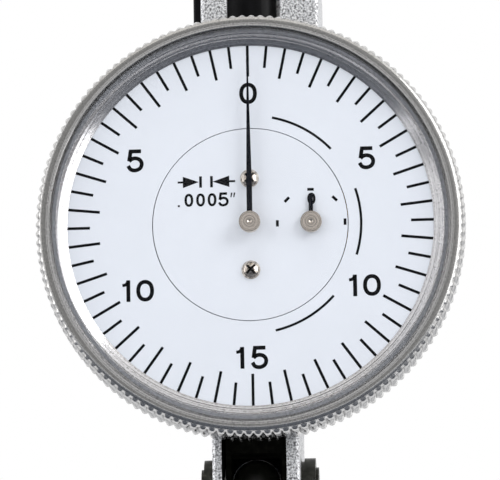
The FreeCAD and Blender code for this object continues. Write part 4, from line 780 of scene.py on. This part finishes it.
class IndicatorCrystal(bpy.types.Operator):
    """Builds the domed acrylic window"""
    bl_idname = "indicator.crystal"
    bl_label = "Crystal"

    def execute(self, context):
        bezel = context.scene.indicator_bezel
        wall, crown, bevel = bezel.wall, bezel.crown, bezel.bevel
        inner_wall = wall - bezel.wall_thick
        edge_y = CRYSTAL_FRONT + crown
        dome = (wall ** 2 + crown ** 2) / (2 * crown)
        flange_y = CRYSTAL_BACK - bezel.rim

        def arch(limit, offset, count=14):
            """Dome from its middle out to a limit, this far behind the front."""
            rows = []
            for k in range(count + 1):
                r = limit * k / count
                rows.append((r, CRYSTAL_FRONT + offset + dome - math.sqrt(dome ** 2 - r * r)))
            return rows
        profile = arch(wall - bevel, 0.0)
        profile += [(wall - bevel * 0.27, edge_y + bevel * 0.33), (wall, edge_y + bevel),
                    (wall, flange_y), (CRYSTAL_OUTER, flange_y),
                    (CRYSTAL_OUTER, CRYSTAL_BACK), (inner_wall, CRYSTAL_BACK)]
        profile += arch(inner_wall, bezel.dome_thick)[::-1]
        mesh = bmesh.new()
        revolve(mesh, profile, 240, closed=False)
        new_piece("domed_crystal", mesh, clear_acrylic(), "bezel", "acrylic", "crystal")
        dress(nitrile(), "crystal_seal")
        return {"FINISHED"}


class IndicatorHands(bpy.types.Operator):
    """Builds both turned hubs and paints both hands"""
    bl_idname = "indicator.hands"
    bl_label = "Hands and hubs"

    def execute(self, context):
        body = context.scene.indicator_body
        hubs = (("main_hub", MAIN_HUB, "hand", body.hub),
                ("counter_hub", COUNTER_HUB, "counter", body.counter_hub))
        for name, (low, high), rider, thick in hubs:
            centre = ((low[0] + high[0]) / 2, (low[2] + high[2]) / 2)
            radius = (high[0] - low[0]) / 2
            front, back = low[1], high[1]
            # The dimple and the grooves, then the rounded rim and the stem.
            profile = [(r * MM, front + depth * MM) for r, depth in HUB_DIMPLE]
            inner = profile[-1][0]
            span = radius - inner - HUB_EDGE * MM
            for k in range(1, HUB_ROWS + 1):
                groove = HUB_GROOVE * MM if k % 2 else 0.0
                profile.append((inner + span * k / (HUB_ROWS + 1), front + groove))
            profile += [(radius - 0.07 * MM, front), (radius - 0.02 * MM, front + 0.02 * MM),
                        (radius, front + 0.07 * MM), (radius, front + thick - 0.03 * MM),
                        (radius - 0.03 * MM, front + thick),
                        (body.hub_stem, front + thick), (body.hub_stem, back), (0.0, back)]
            mesh = bmesh.new()
            revolve(mesh, profile, 72, centre, closed=False)
            metal = nickel_plate(body, name + "_nickel",
                                 (centre[0] / MM, 0, centre[1] / MM))
            new_piece(name + "_turned", mesh, metal, rider, "nickel", name)
        dress(hand_paint(), "main_hand", "counter_hand")
        return {"FINISHED"}


class IndicatorDialParts(bpy.types.Operator):
    """Finishes the dial, its screws and the case behind it"""
    bl_idname = "indicator.dial_parts"
    bl_label = "Dial and case"

    def execute(self, context):
        body = context.scene.indicator_body
        dress(dial_lacquer(context.scene.indicator_dial), "dial_ring", "dial_centre_disc")
        low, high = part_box("dial_screws")
        middle = (high[2] - low[2] - (high[0] - low[0])) / 2 / MM
        dress(nickel_with_painted_recess_shade(body, middle), "dial_screws")
        dress(worked_metal("anodised_aluminium", linear("#B9BBBD"), 0.38, 0.3), "dial_case")
        dress(worked_metal("spring_wire", linear("#9DA0A4"), 0.25, 0.2), "bezel_spring",
              "dial_clamp_ring")
        return {"FINISHED"}


class IndicatorFrame(bpy.types.Operator):
    """Finishes the body, its covers and screws, and the bearings in its cheeks"""
    bl_idname = "indicator.frame"
    bl_label = "Body"

    def execute(self, context):
        body = context.scene.indicator_body
        dress(satin_chrome(body), "body_frame")
        dress(black_enamel(body), "upper_insert", "side_cover")
        dress(black_oxide("black_oxide", body.oxide, 0.35, 0.5), "left_pivot_bearing",
              "right_pivot_bearing", "bearing_shim", "side_cover_screws", "insert_screw")
        return {"FINISHED"}


class IndicatorLever(bpy.types.Operator):
    """Finishes the fork, the swivel ball, the stylus and its contact ball"""
    bl_idname = "indicator.lever"
    bl_label = "Lever and stylus"

    def execute(self, context):
        body = context.scene.indicator_body
        # Painted shade: the fork deep in the channel gets a darker, unreflective copy of the
        # oxide.
        dress(black_oxide("dull_black_oxide_in_painted_shade", shade(body.oxide, 0.2), 0.0, 0.0), "lever_fork")
        dress(oxide_with_painted_rim_highlight(body), "swivel_ball")
        dress(worked_metal("ground_steel", linear("#B8B9BA"), 0.2, 0.12), "pivot_shaft",
              "drive_pin", "friction_washers")
        dress(worked_metal("nickel_plated_stem", shade(body.nickel, 1.3), 0.22, 0.2),
              "stylus_stem")
        dress(worked_metal("polished_carbide", linear("#8E8F93"), 0.1, 0.1), "contact_ball")
        return {"FINISHED"}


class IndicatorMovement(bpy.types.Operator):
    """Finishes the gear train, its bearings and the hairspring"""
    bl_idname = "indicator.movement"
    bl_label = "Movement"

    def execute(self, context):
        body = context.scene.indicator_body
        dress(worked_metal("milled_brass", body.brass, 0.28, 0.25), "movement_plate",
              "sector_gear", "crown_gear", "counter_wheel", "centre_bridge", "centre_bush",
              "counter_bush", "hairspring_collet", "hairspring_stud")
        dress(worked_metal("hardened_steel", linear("#AEB0B2"), 0.2, 0.15), "sector_arbor",
              "crown_arbor", "crown_pinion", "centre_arbor", "centre_pinion",
              "counter_pinion", "counter_arbor", "movement_plate_screws",
              "dial_case_screws", "centre_bridge_screws")
        dress(worked_metal("blued_spring", linear("#33415F"), 0.25, 0.2), "hairspring")
        dress(ruby(), "crown_jewels", "sector_jewels", "centre_jewel")
        return {"FINISHED"}


# ================================================================ stage
def white_to_eye(tree, shader, strength):
    """Mixes plain white in for camera, glossy and transmission rays."""
    path = add(tree, "ShaderNodeLightPath")
    eye = add(tree, "ShaderNodeMath", links={0: path.outputs["Is Camera Ray"],
                                             1: path.outputs["Is Glossy Ray"]},
              operation="MAXIMUM")
    seen = add(tree, "ShaderNodeMath", links={0: eye.outputs[0],
                                              1: path.outputs["Is Transmission Ray"]},
               operation="MAXIMUM")
    white = add(tree, "ShaderNodeBackground", {"Color": (1, 1, 1, 1), "Strength": strength})
    mixed = add(tree, "ShaderNodeMixShader", links={0: seen.outputs[0], 1: shader,
                                                    2: white.outputs[0]})
    return mixed.outputs[0]


def lamp(name, place, aim, size, power):
    """Square soft lamp that faces the aim."""
    data = bpy.data.lights.new(name, "AREA")
    data.shape = "RECTANGLE"
    data.size, data.size_y = size
    data.energy = power
    light = bpy.data.objects.new(name, data)
    light.location = place
    light.rotation_euler = (Vector(aim) - Vector(place)).to_track_quat("-Z", "Y").to_euler()
    bpy.context.scene.collection.objects.link(light)
    return light


def card(name, place, aim, size, tone, strength):
    """Card beside the lens that only reflections and the crystal see."""
    mesh = bmesh.new()
    bmesh.ops.create_grid(mesh, x_segments=1, y_segments=1, size=0.5)
    bmesh.ops.scale(mesh, verts=mesh.verts, vec=(*size, 1.0))
    data = bpy.data.meshes.new(name)
    mesh.to_mesh(data)
    mesh.free()
    sheet = bpy.data.objects.new(name, data)
    sheet.location = place
    sheet.rotation_euler = (Vector(aim) - Vector(place)).to_track_quat("-Z", "Y").to_euler()
    sheet.visible_camera = sheet.visible_diffuse = sheet.visible_shadow = False
    bpy.context.scene.collection.objects.link(sheet)
    values = {"Emission Strength": strength, "Emission Color": linear(tone),
              "Base Color": (0, 0, 0, 1)}
    data.materials.append(new_material(name, values)[0])


class IndicatorStageSet(bpy.types.Operator):
    """Sets the camera, the lamps and cards, the pale floor and the white surroundings"""
    bl_idname = "indicator.stage"
    bl_label = "Stage"

    def execute(self, context):
        scene = context.scene
        stage = scene.indicator_stage
        target = Vector((-stage.aside, FACE_Y, -stage.aim))
        a, e, r = stage.azimuth, stage.elevation, stage.roll
        back = Vector((math.sin(a) * math.cos(e), -math.cos(a) * math.cos(e), math.sin(e)))
        level = Vector((math.cos(a), math.sin(a), 0))
        upright = back.cross(level)
        right = math.cos(r) * level + math.sin(r) * upright
        up = math.cos(r) * upright - math.sin(r) * level
        data = bpy.data.cameras.new("camera")
        data.lens, data.sensor_width = stage.lens, 36.0
        data.clip_start, data.clip_end = 0.01, 20.0
        camera = bpy.data.objects.new("camera", data)
        camera.matrix_world = Matrix.Translation(target + back * stage.distance) @ Matrix(
            (right, up, back)).transposed().to_4x4()
        scene.collection.objects.link(camera)
        scene.camera = camera
        scene.view_settings.view_transform = "Standard"

        world = bpy.data.worlds.new("studio")
        world.use_nodes = True
        scene.world = world
        tree = world.node_tree
        tree.nodes.clear()
        soft = add(tree, "ShaderNodeBackground", {"Color": linear("#F7F7F8"),
                                                  "Strength": stage.soft})
        output = add(tree, "ShaderNodeOutputWorld")
        tree.links.new(white_to_eye(tree, soft.outputs[0], 1.0), output.inputs["Surface"])

        mesh = bmesh.new()
        bmesh.ops.create_grid(mesh, x_segments=8, y_segments=8, size=1.5)
        bmesh.ops.translate(mesh, verts=mesh.verts, vec=(0, 0, -stage.floor))
        data = bpy.data.meshes.new("floor")
        mesh.to_mesh(data)
        mesh.free()
        floor = bpy.data.objects.new("floor", data)
        scene.collection.objects.link(floor)
        data.materials.append(pale_paper())

        aim = (0.0, FACE_Y, 0.0)
        lamp("key", (0.42, -0.34, 0.30), aim, (0.30, 0.30), stage.key)
        fills = (("fill_left", (-0.45, -0.30, 0.15)), ("top", (-0.05, -0.18, 0.55)))
        for name, place in fills:
            soft_lamp = lamp(name, place, aim, (0.40, 0.35), stage.fill)
            soft_lamp.visible_glossy = soft_lamp.visible_transmission = False
        for name, place, size, tone, strength in CARDS:
            card(name, place, aim, size, tone, strength)
        # This card lies below the dial and faces up.
        above = (0.0, -0.201, 0.1)
        card("low_card", (0.0, -0.20, -0.11), above, (0.60, 0.36), "#585D66", 1.0)
        return {"FINISHED"}


# ================================================================ panel
PIECE_OPERATORS = (IndicatorPrintRing, IndicatorPrintDisc, IndicatorBezelRing,
                   IndicatorCrystal, IndicatorHands, IndicatorDialParts, IndicatorFrame,
                   IndicatorLever, IndicatorMovement, IndicatorStageSet)
SETTINGS = {"indicator_dial": IndicatorDial, "indicator_bezel": IndicatorBezel,
            "indicator_body": IndicatorBody, "indicator_stage": IndicatorStage}


class IndicatorPanel(bpy.types.Panel):
    """Lists the steps that build the indicator"""
    bl_idname = "VIEW3D_PT_indicator"
    bl_label = "Dial Test Indicator"
    bl_space_type = "VIEW_3D"
    bl_region_type = "UI"
    bl_category = "Indicator"

    def draw(self, context):
        for step in PIECE_OPERATORS:
            self.layout.operator(step.bl_idname)
        for name, group in SETTINGS.items():
            box = self.layout.box()
            for key in group.__annotations__:
                box.prop(getattr(context.scene, name), key)


def register():
    """Adds the settings, the operators and the panel."""
    for group in SETTINGS.values():
        bpy.utils.register_class(group)
    for item in (*PIECE_OPERATORS, IndicatorPanel):
        bpy.utils.register_class(item)
    for name, group in SETTINGS.items():
        setattr(bpy.types.Scene, name, PointerProperty(type=group))


def unregister():
    """Takes them out again."""
    for name in SETTINGS:
        delattr(bpy.types.Scene, name)
    for item in (IndicatorPanel, *reversed(PIECE_OPERATORS)):
        bpy.utils.unregister_class(item)
    for group in reversed(SETTINGS.values()):
        bpy.utils.unregister_class(group)


def main():
    """Builds every piece in order."""
    register()
    for step in PIECE_OPERATORS:
        group, name = step.bl_idname.split(".")
        getattr(getattr(bpy.ops, group), name)()
    bpy.context.view_layer.update()


if __name__ == "__main__":
    main()
